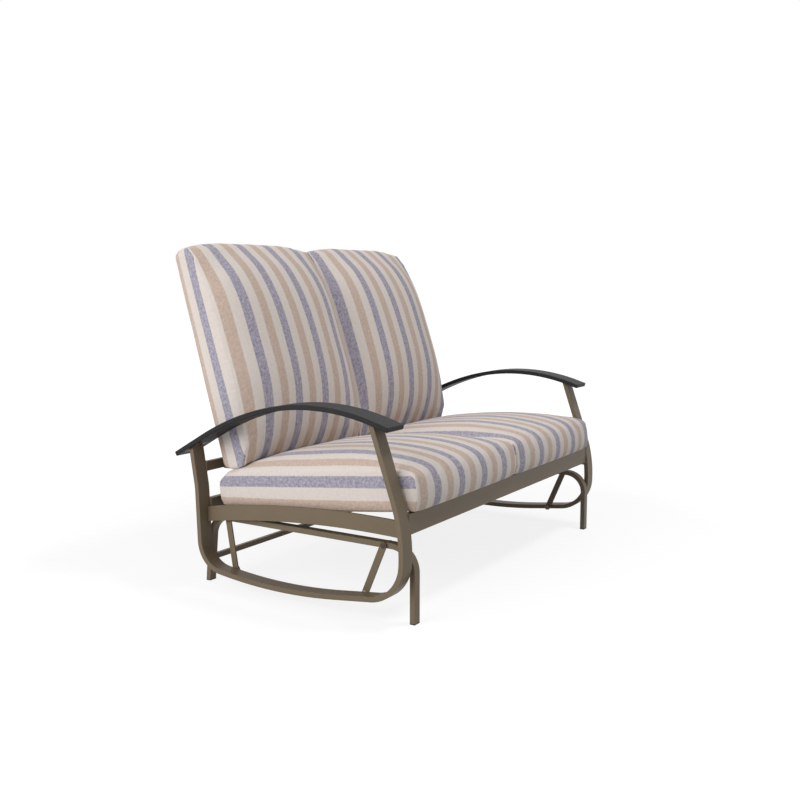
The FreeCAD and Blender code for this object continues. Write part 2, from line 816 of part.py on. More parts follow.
def side_rail(name, side):
    """A slim arched bar between the posts, flush with the loop's inner face."""
    middle_x = side * (loop_inner_x + size("side_rail_thick") / 2)
    body = new_body(f"side_rail_{name}", x=middle_x)
    peak = flat(size("side_rail_peak_y"), size("side_rail_peak_z"))
    reach = size("base_depth") / 2 + size("loop_tube_width")
    front_fall = math.tan(math.radians(size("side_rail_front_fall")))
    rear_fall = math.tan(math.radians(size("side_rail_rear_fall")))
    corners = [
        peak + flat(-reach, -reach * front_fall),
        peak,
        peak + flat(reach, -reach * rear_fall),
    ]
    bends = [size("side_rail_bend")]
    corners, bends = shifted(corners, bends, -size("side_rail_tall"))
    bent_tube(body, corners, bends, "side_rail_thick", "side_rail_tall")
    inner_corners, inner_bends = shifted(loop_corners, loop_bends, loop_depth)
    frame = [flat(-beyond, -beyond), flat(beyond, -beyond), flat(beyond, beyond), flat(-beyond, beyond)]
    inside = route_curves(inner_corners, inner_bends)
    inside.append(Part.LineSegment(inner_corners[0], inner_corners[-1]))
    outside = new_sketch(body, YZ, polygon_curves(frame) + inside)
    pocket(body, outside, "Sheet.side_rail_thick + 2 * Sheet.cut_spare")
    return body


front_rail_z = size("front_rail_top") - size("front_rail_tall") / 2
front_rail_front = post_outer_y(front_rail_z, True) + size("front_rail_set_back")
front_rail_rear = front_rail_front + size("front_rail_deep")
rear_rail_z = size("rear_rail_top") - size("rear_rail_tall") / 2
rear_rail_rear = post_outer_y(rear_rail_z, False) - size("rear_rail_set_in")
rear_rail_front = rear_rail_rear - size("rear_rail_deep")
cross_rail_z = size("cross_rail_top") - size("cross_rail_tall") / 2
cross_rail_rear = post_outer_y(cross_rail_z, False) - size("cross_rail_set_in")
cross_rail_front = cross_rail_rear - size("cross_rail_deep")


def cross_rails():
    """The three straight tubes between the loops."""
    between = 2 * loop_inner_x
    front_y = (front_rail_front + front_rail_rear) / 2
    rear_y = (rear_rail_front + rear_rail_rear) / 2
    cross_y = (cross_rail_front + cross_rail_rear) / 2
    return [
        cross_tube("front_rail", front_y, front_rail_z, "front_rail_deep", "front_rail_tall", between),
        cross_tube("rear_rail", rear_y, rear_rail_z, "rear_rail_deep", "rear_rail_tall", between),
        cross_tube(
            "back_cross_rail", cross_y, cross_rail_z, "cross_rail_deep", "cross_rail_tall", between
        ),
    ]


# The back frame leans about this point on its rear face, where the uprights bend.
back_lean = size("back_lean")
back_heading = leaning(back_lean)
upright_reach = size("upright_bend") * math.tan(math.radians(back_lean / 2))
back_foot = flat(cross_rail_front, size("cross_rail_top") + upright_reach)
back_turn = about_x(-back_lean)
upright_foot_z = size("cross_rail_top") - size("cross_rail_tall") - size("upright_below")
back_front = -size("back_tube_deep")


def upright(label, x, length):
    """A box tube that rises plumb in front of the cross rail and then leans back."""
    corners = [flat(back_foot.x, upright_foot_z), back_foot, back_foot + back_heading * length]
    body = new_body(label, x=x)
    bent_tube(body, corners, [size("upright_bend")], "back_tube_width", "back_tube_deep")
    return body


def back_frame():
    """The uprights and the top rail, a box tube with rounded corners that closes them."""
    half = back_frame_width / 2
    upright_x = half - size("back_tube_width") / 2
    top = size("back_frame_length")
    leg = top - size("top_rail_leg")
    nodes = [upright(f"back_upright_{name}", side * upright_x, leg) for name, side in SIDES.items()]
    nodes.append(upright("back_upright_centre", 0, top - size("back_tube_width")))
    body = new_body("back_top_rail", y=back_foot.x, z=back_foot.y, turn=back_turn)
    corners = [Vector(-half, leg, 0), Vector(-half, top, 0), Vector(half, top, 0), Vector(half, leg, 0)]
    bends = [size("top_rail_bend"), size("top_rail_bend")]
    deep = size("back_tube_deep")
    wide = size("back_tube_width")
    outline = band_curves(corners, bends, -wide, 0)
    pad(body, new_sketch(body, XZ, outline, ahead=deep / 2), "Sheet.back_tube_deep")
    wall = size("tube_wall")
    hollow = band_curves(corners, bends, wall - wide, -wall)
    pocket(
        body, new_sketch(body, XZ, hollow, ahead=deep / 2), "Sheet.back_tube_deep - 2 * Sheet.tube_wall"
    )
    nodes.append(body)
    return nodes


def spaced(count, span):
    """Evenly spaced places about zero."""
    return [span * (index / (count - 1) - 0.5) for index in range(count)]


def boxes(label, shapes):
    """Several plain strips or plates as one node."""
    parts = []
    for index, (corner, sides, place) in enumerate(shapes):
        box = document.addObject("Part::Box", f"{label}_{index}")
        box.Length, box.Width, box.Height = sides
        box.Placement = place * Placement(corner, Rotation())
        parts.append(box)
    node = document.addObject("Part::Compound", label)
    node.Label = label
    node.Links = parts
    return node


def back_place():
    """The back frame's own place: X across, Y out of its rear face and Z up its lean."""
    return Placement(Vector(0, back_foot.x - size("base_ahead"), back_foot.y), back_turn)


def back_straps():
    """Flat straps across the front of the uprights, each clipped at both ends."""
    half = back_frame_width / 2
    clip = size("clip_thick")
    set_in = size("clip_set_in")
    face = back_front - size("strap_thick")
    first = size("back_strap_first")
    last = size("back_frame_length") - size("back_strap_below_top") - size("back_strap_wide")
    count = int(size("back_strap_count"))
    straps = []
    clips = []
    for index in range(count):
        low = first + (last - first) * index / (count - 1)
        sides = (2 * half, size("strap_thick"), size("back_strap_wide"))
        straps.append((Vector(-half, face, low), sides, back_place()))
        clip_low = low + (size("back_strap_wide") - size("clip_long")) / 2
        for start in (set_in - half, half - set_in - size("clip_tall")):
            sides = (size("clip_tall"), clip, size("clip_long"))
            clips.append((Vector(start, face - clip, clip_low), sides, back_place()))
    return [boxes("back_straps", straps), boxes("back_strap_clips", clips)]


seat_fall = math.degrees(
    math.atan2(size("front_rail_top") - size("seat_strap_rear_z"), rear_rail_front - front_rail_rear)
)


def seat_straps():
    """Flat straps from rail to rail. Each end turns down the rail's face, under a clip."""
    front = flat(front_rail_rear, size("front_rail_top"))
    rear = flat(rear_rail_front, size("seat_strap_rear_z"))
    down = flat(0, -size("seat_strap_tab"))
    across = direction(front, rear) * size("strap_bend")
    fold = flat(0, -size("strap_bend"))
    top = [front + down, front + fold, front + across, rear - across, rear + fold, rear + down]
    no_bends = [0] * (len(top) - 2)
    underside, _ = shifted(top, no_bends, -size("strap_thick"))
    master = new_body("seat_strap_master")
    outline = polygon_curves(top + underside[::-1])
    pad(master, new_sketch(master, YZ, outline), "Sheet.seat_strap_wide")
    span = 2 * (loop_inner_x - size("seat_strap_set_in")) - size("seat_strap_wide")
    xs = spaced(int(size("seat_strap_count")), span)
    straps = copies("seat_straps", master, [Placement(Vector(x, 0, 0), Rotation()) for x in xs])
    clips = []
    ahead = Placement(Vector(0, -size("base_ahead"), 0), Rotation())
    sides = (size("clip_long"), size("clip_thick"), size("clip_tall"))
    faces = [
        (front.x + size("strap_thick"), front.y),
        (rear.x - size("strap_thick") - size("clip_thick"), rear.y),
    ]
    for x in xs:
        for face_y, top in faces:
            low = top - size("seat_strap_tab") + size("clip_set_in")
            clips.append((Vector(x - size("clip_long") / 2, face_y, low), sides, ahead))
    return [straps, boxes("seat_strap_clips", clips)]


# The armrests, the plates on the posts' tops that carry them and the screws.


def plate_turns():
    """The place of each post top on the arm's underside, and which way its screw lies."""
    return [
        (Vector(0, middle.x, middle.y), about_x(slope), 1 if middle.x < 0 else -1)
        for middle, slope in arm_seats
    ]


screw_offset = size("plate_long") / 2 - size("arm_screw_flats")


def plate_screw_places(side):
    """Where the screws of one side pass up through the plates, between the two posts."""
    places = []
    for base, turn, inward in plate_turns():
        across = Vector(side * loop_middle_x, 0, 0)
        spot = base + across + turn.multVec(Vector(0, inward * screw_offset, 0))
        places.append(Placement(spot, turn))
    return places


def armrest(name, side):
    """The arched plank, recessed for the two plates and drilled for their screws."""
    middle_x = arm_outer_x - size("arm_width") / 2
    label = f"armrest_{name}"
    body = new_body(f"{label}_plank", x=side * middle_x)
    outline = band_curves(arm_corners, arm_bends, -size("arm_thick"), 0)
    pad(body, new_sketch(body, YZ, outline), "Sheet.arm_width")
    half_wide = size("arm_width") / 2

    def side_edge(edge):
        return all(abs(abs(vertex.X) - half_wide) < 1e-4 for vertex in edge.Vertexes)

    bevel(body, side_edge, "Sheet.arm_edge")
    gap = size("plug_gap")
    offset_x = side * (loop_middle_x - middle_x)
    for middle, slope in arm_seats:
        half_long = size("plate_long") / 2 + gap
        recess = tilted_rectangle(
            middle, slope, half_long, size("arm_thick"), size("plate_thick") + size("fit_gap")
        )
        sketch = new_sketch(body, YZ, polygon_curves(recess), ahead=offset_x)
        pocket(body, sketch, "Sheet.loop_tube_width + 2 * Sheet.plug_gap")
    tools = []
    for index, place in enumerate(plate_screw_places(side)):
        drill = document.addObject("Part::Cylinder", f"{label}_drill_{index}")
        depth = "Sheet.plate_thick + Sheet.arm_screw_reach + Sheet.screw_tip_gap"
        drill.setExpression("Height", depth)
        drill.setExpression("Radius", "Sheet.arm_screw_radius + Sheet.fit_gap")
        to_origin = Placement(Vector(0, -size("base_ahead"), 0), Rotation())
        drill.Placement = to_origin * place
        tools.append(drill)
    drills = document.addObject("Part::Compound", f"{label}_drills")
    drills.Links = tools
    node = document.addObject("Part::Cut", label)
    node.Label = label
    node.Base = body
    node.Tool = drills
    return node


def arm_hardware():
    """The plates on the posts' tops and the screws that go up through them."""
    plates = []
    screw_places = []
    plate = new_body("arm_plate_master")
    outline = rectangle_sketch(plate, XY, "Sheet.loop_tube_width", "Sheet.plate_long")
    pad(plate, outline, "Sheet.plate_thick", midplane=False)
    hole = "Sheet.arm_screw_radius + Sheet.fit_gap"
    spot = [Vector(0, screw_offset, 0)]
    through = "2 * Sheet.plate_thick + 2 * Sheet.cut_spare"
    pocket(plate, circle_sketch(plate, XY, spot, hole), through)
    for side in SIDES.values():
        for base, turn, inward in plate_turns():
            half_turn = Rotation(UP, 0 if inward > 0 else 180)
            plates.append(Placement(base + Vector(side * loop_middle_x, 0, 0), turn * half_turn))
        screw_places += plate_screw_places(side)
    screw = new_body("arm_screw_master")
    head = new_sketch(screw, XY, hexagon(size("arm_screw_flats")))
    pad(screw, head, "Sheet.arm_screw_head", midplane=False, reverse=True)
    shank = circle_sketch(screw, XY, [Vector()], "Sheet.arm_screw_radius")
    pad(screw, shank, "Sheet.plate_thick + Sheet.arm_screw_reach", midplane=False)
    return [copies("arm_plates", plate, plates), copies("arm_screws", screw, screw_places)]


# The cushions. Each is a loft through closed outlines that stand along its width, from a side
# panel over its seam to the crown in the middle and on to the other side.

# Where the outlines stand, as shares of the way from the middle to a side seam.
CUSHION_STATIONS = (0, 0.5, 0.8, 1)

# How an end is rolled from the base to its seam: shares of its height and of its bulge.
ROLLED_END = ((0.25, 0.8), (0.7, 0.7))


def cushion_sizes(kind):
    """The sizes of the seat or the back cushions."""
    start = f"{kind}_cushion_"
    return {alias[len(start):]: size(alias) for alias in SIZES if alias.startswith(start)}


def cushion_outline(form, share, inset):
    """A cushion's section at a share of the way to its side seam: flat below, bowed elsewhere."""
    drawn = share**4
    low = form["end_draw"] * drawn + inset
    far = form["long"] - low
    base = form["base_draw"] * drawn + inset
    foot_top = form["foot_thick"] - inset
    head_top = form["head_thick"] - inset
    rise = form["side_crown"] + form["crown"] * (1 - share ** form["fullness"])
    foot_seam = flat(low + form["roll"], foot_top)
    head_seam = flat(far - form["roll"], head_top)
    summit = flat(form["long"] / 2, (foot_top + head_top) / 2 + rise)
    foot = [flat(low, base)]
    head = [flat(far, base)]
    for height, swell in ROLLED_END:
        foot.append(flat(low - swell * form["bulge"], base + height * (foot_top - base)))
        head.append(flat(far + swell * form["bulge"], base + height * (head_top - base)))
    straight = [head_seam, *reversed(head), *foot, foot_seam]
    runs = [Part.LineSegment(start, end) for start, end in zip(straight, straight[1:])]
    return runs + [Part.Arc(foot_seam, summit, head_seam)]


def cushion(label, form, wide, place):
    """A cushion whose base lies on its own XY plane, centred across its width."""
    seam_x = wide / 2 - form["side_bulge"]
    half = [(share * seam_x, share, 0) for share in CUSHION_STATIONS]
    half.append((wide / 2, 1, form["side_inset"]))
    stations = [(-x, share, inset) for x, share, inset in half[:0:-1]] + half
    body = new_body(label)
    body.setExpression(".Placement.Base.y", None)
    body.Placement = place
    sections = []
    for x, share, inset in stations:
        sections.append(new_sketch(body, YZ, cushion_outline(form, share, inset), ahead=x))
    loft = body.newObject("PartDesign::AdditiveLoft", f"{label}_loft")
    loft.Profile = sections[0]
    loft.Sections = sections[1:]
    loft.Ruled = True
    document.recompute()
    return body


def placed(curves, place):
    """A closed outline of the side view as a wire in its place."""
    upright_turn = Placement(Vector(), Rotation(Vector(1, 1, 1), 120))
    wire = Part.Wire(Part.__sortEdges__([curve.toShape() for curve in curves]))
    wire.Placement = place * upright_turn
    return wire


def build_cushions():
    """Two seat cushions on the straps, and two back cushions that stand on them."""
    gap = size("soft_gap")
    split = size("cushion_split")
    seat_form = cushion_sizes("seat")
    back_form = cushion_sizes("back")
    seat_wide = loop_inner_x - seat_form["side_gap"] - split / 2
    back_wide = arm_inner_x - back_form["side_gap"] - split / 2
    seat_turn = about_x(-seat_fall)
    overhang = seat_turn.multVec(Vector(0, -seat_form["overhang"], 0))
    seat_foot = overhang + Vector(
        0, front_rail_rear - size("base_ahead"), size("front_rail_top") + gap
    )
    back_face = back_front - size("strap_thick") - size("clip_thick") - gap
    # A back cushion's base looks to the rear, so its own Y runs up the lean and its own Z forward.
    stand = Rotation(ACROSS, 90 - back_lean)

    def back_cushion_place(x, lift):
        return Placement(back_place().multVec(Vector(x, back_face, lift)), stand)

    # The back cushion is let down until it meets the seat cushion.
    seat_wire = placed(cushion_outline(seat_form, 0, 0), Placement(seat_foot, seat_turn))
    back_curves = cushion_outline(back_form, 0, 0)
    lift = seat_form["foot_thick"]
    for _ in range(6):
        wire = placed(back_curves, back_cushion_place(0, lift))
        lift -= wire.distToShape(seat_wire)[0] - gap
    nodes = []
    for name, side in SIDES.items():
        seat_x = side * (split + seat_wide) / 2
        place = Placement(seat_foot + Vector(seat_x, 0, 0), seat_turn)
        nodes.append(cushion(f"seat_cushion_{name}", seat_form, seat_wide, place))
        back_x = side * (split + back_wide) / 2
        place = back_cushion_place(back_x, lift)
        nodes.append(cushion(f"back_cushion_{name}", back_form, back_wide, place))
    return nodes


def build_frame():
    """Everything rigid that swings."""
    nodes = []
    for name, side in SIDES.items():
        nodes.append(side_loop(name, side))
        nodes.append(side_rail(name, side))
        nodes.append(armrest(name, side))
    return nodes + cross_rails() + back_frame() + back_straps() + seat_straps() + arm_hardware()


nodes = build_base() + build_links() + build_frame() + build_cushions()
document.recompute()

for item in document.Objects:
    if "Invalid" in item.State or "Error" in item.State:
        raise RuntimeError(f"{item.Label}: {item.State}")
for node in nodes:
    if node.Shape.isNull() or not node.Shape.isValid() or not node.Shape.Solids:
        raise RuntimeError(f"{node.Label}: its shape isn't a valid solid")
for node in nodes:
    node.Shape.exportStep(f"parts/{node.Label}.step")
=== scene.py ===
import json
import math

import bmesh
import bpy
from bpy.props import FloatProperty, FloatVectorProperty, PointerProperty
from mathutils import Matrix, Vector, noise
from mathutils.bvhtree import BVHTree

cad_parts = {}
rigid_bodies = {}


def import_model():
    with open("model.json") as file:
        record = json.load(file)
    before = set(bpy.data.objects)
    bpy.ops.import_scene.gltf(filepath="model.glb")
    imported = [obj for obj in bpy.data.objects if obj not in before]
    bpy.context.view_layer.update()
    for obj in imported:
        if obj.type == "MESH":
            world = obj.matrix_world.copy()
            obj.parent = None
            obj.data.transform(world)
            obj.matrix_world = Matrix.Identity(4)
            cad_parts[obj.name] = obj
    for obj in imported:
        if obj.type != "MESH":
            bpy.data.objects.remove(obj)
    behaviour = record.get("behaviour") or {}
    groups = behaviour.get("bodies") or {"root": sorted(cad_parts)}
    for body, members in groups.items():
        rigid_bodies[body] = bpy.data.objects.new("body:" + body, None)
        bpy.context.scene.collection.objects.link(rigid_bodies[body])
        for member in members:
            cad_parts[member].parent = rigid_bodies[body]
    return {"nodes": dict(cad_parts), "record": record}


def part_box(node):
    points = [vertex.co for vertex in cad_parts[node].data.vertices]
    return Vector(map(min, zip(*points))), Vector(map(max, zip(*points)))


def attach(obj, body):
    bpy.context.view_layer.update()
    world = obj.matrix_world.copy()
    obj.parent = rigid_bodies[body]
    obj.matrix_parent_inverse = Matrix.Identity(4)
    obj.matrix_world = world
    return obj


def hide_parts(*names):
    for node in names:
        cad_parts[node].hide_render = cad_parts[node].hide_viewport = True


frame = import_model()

bl_info = {
    "name": "Glider Bench",
    "version": (1, 0, 0),
    "blender": (4, 5, 0),
    "location": "3D View > Sidebar > Glider Bench",
    "description": "Finishes, cushions and stage of a two-seat patio glider bench",
    "category": "Object",
}

# The bench in metres: X across it, Y from front to rear, Z up.
SIDES = {"left": -1, "right": 1}


def length(name, default, description):
    """A length in metres."""
    return FloatProperty(
        name=name, description=description, default=default, subtype="DISTANCE", unit="LENGTH",
        precision=4,
    )


def colour(name, default, description):
    """A colour, written as it looks on a screen."""
    return FloatVectorProperty(
        name=name, description=description, default=default, subtype="COLOR_GAMMA", size=3,
        min=0.0, max=1.0,
    )


class CushionSizes(bpy.types.PropertyGroup):
    """Sizes of the cushions and of the cloth on them."""

    cell: length("Cloth cell", 0.0085, "Size of the cloth's facets before the last subdivision")
    draw_in: length("Draw in", 0.001, "How much smaller a cover is before it is filled")
    most_swell: length("Most swell", 0.012, "How far the filling may move the cloth")
    seam_inset: length("Seam inset", 0.008, "How far the side seams lie inside a cushion's width")
    seam_half: length("Seam width", 0.0032, "Half width of the crease along a seam")
    seam_depth: length("Seam depth", 0.0014, "Depth of the crease along a seam")
    stripe_repeat: length("Stripe repeat", 0.1337, "Distance from one blue stripe to the next")
    stripe_width: length("Stripe width", 0.0335, "Width of one stripe")
    lean_in: length("Lean in", 0.006, "How much further a cushion reaches towards its neighbour")
    rear_drawn: length("Rear edges", 0.022, "How far a back cushion's rear hangs behind its solid")
    filling: FloatProperty(
        name="Filling", description="Pressure that swells a cover", default=4.0, min=0.0
    )


class FrameSizes(bpy.types.PropertyGroup):
    """Sizes of the small forms on the frame."""

    tube_edge: length("Tube edge", 0.0021, "Rounding of a tube's edges")
    arm_edge: length("Armrest edge", 0.0009, "Rounding of an armrest's edges")
    fine_edge: length("Hardware edge", 0.0003, "Rounding on links, bolts and clips")
    bead: length("Weld bead", 0.0021, "Radius of the beads of weld round the rails' ends")


class BenchColours(bpy.types.PropertyGroup):
    """Colours of the bench."""

    paint: colour("Frame paint", (0.440, 0.385, 0.310), "Powder coat on tubes and links")
    arm: colour("Armrests", (0.078, 0.078, 0.081), "Charcoal armrest planks")
    strap: colour("Straps", (0.130, 0.118, 0.105), "Woven straps under the cushions")
    steel: colour("Hardware", (0.330, 0.300, 0.260), "Bronzed bolts, nuts and clips")
    nylon: colour("Washers", (0.900, 0.890, 0.860), "Nylon washers")
    glide: colour("Foot glides", (0.080, 0.080, 0.082), "Plastic feet")
    cream: colour("Cream", (0.862, 0.824, 0.796), "Ground of the striped cloth")
    tan: colour("Tan", (0.785, 0.702, 0.645), "Tan stripe")
    blue: colour("Blue", (0.640, 0.620, 0.676), "Blue stripe")


class StageSizes(bpy.types.PropertyGroup):
    """The camera and the room around the bench."""

    camera_place: FloatVectorProperty(
        name="Camera place", description="Where the camera stands", subtype="TRANSLATION",
        unit="LENGTH", size=3, default=(-2.7333, -1.7384, 0.9049),
    )
    camera_turn: FloatVectorProperty(
        name="Camera turn", description="How the camera is turned", subtype="EULER",
        unit="ROTATION", size=3, default=(math.radians(83.15), 0.0, math.radians(-57.62)),
    )
    lens: FloatProperty(name="Lens", description="Focal length in millimetres", default=43.456)
    floor_size: length("Floor size", 30.0, "Side of the floor")


def sizes_of(kind):
    """One of the property groups, as the user has set it."""
    return getattr(bpy.context.scene, f"glider_{kind}")


def in_scene(name, data):
    """A mesh, a lamp or a camera as an object in the scene."""
    item = bpy.data.objects.new(name, data)
    bpy.context.scene.collection.objects.link(item)
    return item


# Materials. Each is a principled shader whose pattern reads Object coordinates or an attribute.

WHITE = (1.0, 1.0, 1.0, 1.0)


def linear(shown):
    """A screen colour as the shader's own light values, with full opacity."""
    values = [v / 12.92 if v <= 0.04045 else ((v + 0.055) / 1.055) ** 2.4 for v in shown]
    return (*values, 1.0)


def tinted(shown, brightness):
    """A screen colour as light values, darker below a brightness of 1 and lighter above it."""
    return (*(min(1.0, value * brightness) for value in linear(shown)[:3]), 1.0)


class ShaderNodes:
    """The nodes of a material or of the world, and short ways to add to them."""

    def __init__(self, tree):
        self.nodes = tree.nodes
        self.links = tree.links

    def set(self, node, inputs):
        """Gives a node's inputs a number, a colour or another node's output."""
        for key, value in inputs.items():
            socket = node.inputs[key if isinstance(key, int) else key.replace("_", " ")]
            if isinstance(value, bpy.types.NodeSocket):
                self.links.new(value, socket)
            else:
                socket.default_value = value

    def add(self, kind, inputs, output=0, **settings):
        """Adds a node and returns one of its outputs."""
        node = self.nodes.new(f"ShaderNode{kind}")
        for key, value in settings.items():
            setattr(node, key, value)
        self.set(node, inputs)
        return node.outputs[output]

    def math(self, operation, *values):
        return self.add("Math", dict(enumerate(values)), operation=operation)

    def place(self):
        """A point's own place in metres."""
        return self.add("TexCoord", {}, "Object")

    def stretched(self, vector, scale):
        """Coordinates that are stretched along each axis."""
        return self.add("Mapping", {"Vector": vector, "Scale": scale})

    def noise(self, vector, scale=1.0, detail=3.0, rough=0.5):
        inputs = {"Vector": vector, "Scale": scale, "Detail": detail, "Roughness": rough}
        return self.add("TexNoise", inputs)

    def between(self, factor, low, high):
        """Spreads a value from 0 to 1 over another range."""
        return self.add("MapRange", {"Value": factor, "To_Min": low, "To_Max": high})

    def joined(self, first, share, second):
        """Adds up two patterns: the first has this share and the second has the rest."""
        rest = self.math("MULTIPLY", second, 1 - share)
        return self.math("MULTIPLY_ADD", first, share, rest)

    def mix(self, factor, first, second):
        """Blends two colours."""
        inputs = {0: factor, 6: first, 7: second}
        return self.add("Mix", inputs, output=2, data_type="RGBA")

    def shades(self, factor, shown, darkest, lightest=1.0):
        """A screen colour that varies from one brightness to another."""
        return self.mix(factor, tinted(shown, darkest), tinted(shown, lightest))

    def bump(self, height, strength, distance, normal=None):
        inputs = {"Height": height, "Strength": strength, "Distance": distance}
        if normal is not None:
            inputs["Normal"] = normal
        return self.add("Bump", inputs)

    def seen_directly(self):
        """1 where the camera sees a surface straight, in a gloss or through glass."""
        rays = self.nodes.new("ShaderNodeLightPath").outputs
        seen = rays["Is Camera Ray"]
        for other in ("Is Glossy Ray", "Is Transmission Ray"):
            seen = self.add("Math", {0: seen, 1: rays[other]}, operation="ADD", use_clamp=True)
        return seen


class Finish(ShaderNodes):
    """A material under construction: a principled shader and the nodes that feed it."""

    def __init__(self, name, **inputs):
        self.material = bpy.data.materials.new(name)
        self.material.use_nodes = True
        super().__init__(self.material.node_tree)
        self.shader = self.nodes["Principled BSDF"]
        self.surface(**inputs)

    def surface(self, **inputs):
        """Gives the shader's own inputs their values."""
        self.set(self.shader, inputs)


def paint_finish(name, shown):
    """Satin powder coat: a fine orange peel, faint mottling and specks."""
    finish = Finish(name, IOR=1.5, Specular_IOR_Level=0.3)
    place = finish.place()
    mottle = finish.noise(place, scale=14.0, detail=4.0)
    specks = finish.noise(place, scale=1400.0, detail=2.0)
    peel = finish.noise(place, scale=620.0, detail=2.0)
    finish.surface(
        Base_Color=finish.shades(finish.joined(specks, 0.35, mottle), shown, 0.86, 1.12),
        Roughness=finish.between(mottle, 0.40, 0.52),
        Normal=finish.bump(peel, strength=0.35, distance=0.00012),
    )
    return finish.material


def plank_finish(name, shown):
    """Charcoal plank with a brushed grain along its length."""
    finish = Finish(name, IOR=1.45, Specular_IOR_Level=0.3)
    place = finish.place()
    grain = finish.noise(finish.stretched(place, (420.0, 7.0, 420.0)), detail=4.0, rough=0.65)
    broad = finish.noise(finish.stretched(place, (70.0, 2.2, 70.0)))
    finish.surface(
        Base_Color=finish.shades(finish.joined(grain, 0.6, broad), shown, 0.30, 2.10),
        Roughness=finish.between(grain, 0.42, 0.68),
        Normal=finish.bump(grain, strength=0.9, distance=0.0006),
    )
    return finish.material


def strap_finish(name, shown):
    """Woven strap: ribs across the strap and fine yarns along it."""
    finish = Finish(name, Roughness=0.82, Sheen_Weight=0.15)
    place = finish.place()

    def bands(direction, scale, distortion):
        inputs = {"Vector": place, "Scale": scale, "Distortion": distortion}
        return finish.add("TexWave", inputs, "Fac", bands_direction=direction)

    ribs = bands("X", scale=260.0, distortion=0.4)
    yarns = bands("DIAGONAL", scale=190.0, distortion=0.6)
    weave = finish.math("MULTIPLY", ribs, yarns)
    finish.surface(
        Base_Color=finish.shades(weave, shown, 0.55, 1.45),
        Normal=finish.bump(weave, strength=0.7, distance=0.0006),
    )
    return finish.material


def steel_finish(name, shown):
    """Turned and bronzed steel with faint tool marks."""
    finish = Finish(name, Metallic=1.0)
    marks = finish.noise(finish.stretched(finish.place(), (900.0, 60.0, 60.0)))
    finish.surface(
        Base_Color=finish.shades(marks, shown, 0.75),
        Roughness=finish.between(marks, 0.26, 0.44),
        Normal=finish.bump(marks, strength=0.3, distance=0.00008),
    )
    return finish.material


def plastic_finish(name, shown, rough):
    """Moulded plastic with a fine grain, which varies its roughness a little."""
    finish = Finish(name, IOR=1.5)
    grain = finish.noise(finish.place(), scale=900.0, detail=2.0)
    finish.surface(
        Base_Color=finish.shades(grain, shown, 0.85),
        Roughness=finish.between(grain, rough - 0.08, rough + 0.08),
        Normal=finish.bump(grain, strength=0.4, distance=0.0001),
    )
    return finish.material


# The striped cloth. A stripe's place is the share of a repeat at which its middle lies.
BLUE_AT = 0.25
TAN_AT = 0.75

# Half of the share of a repeat over which a stripe's edge fades, and how far that edge wanders.
STRIPE_BLUR = 0.008
STRIPE_WANDER = 0.0022

# The length of two yarns, one over and one under the other yarns that cross them.
YARN_PAIR = 0.0012

# How much the yarns vary each colour of the cloth.
HEATHER = {"cream": 0.07, "tan": 0.19, "blue": 0.48}


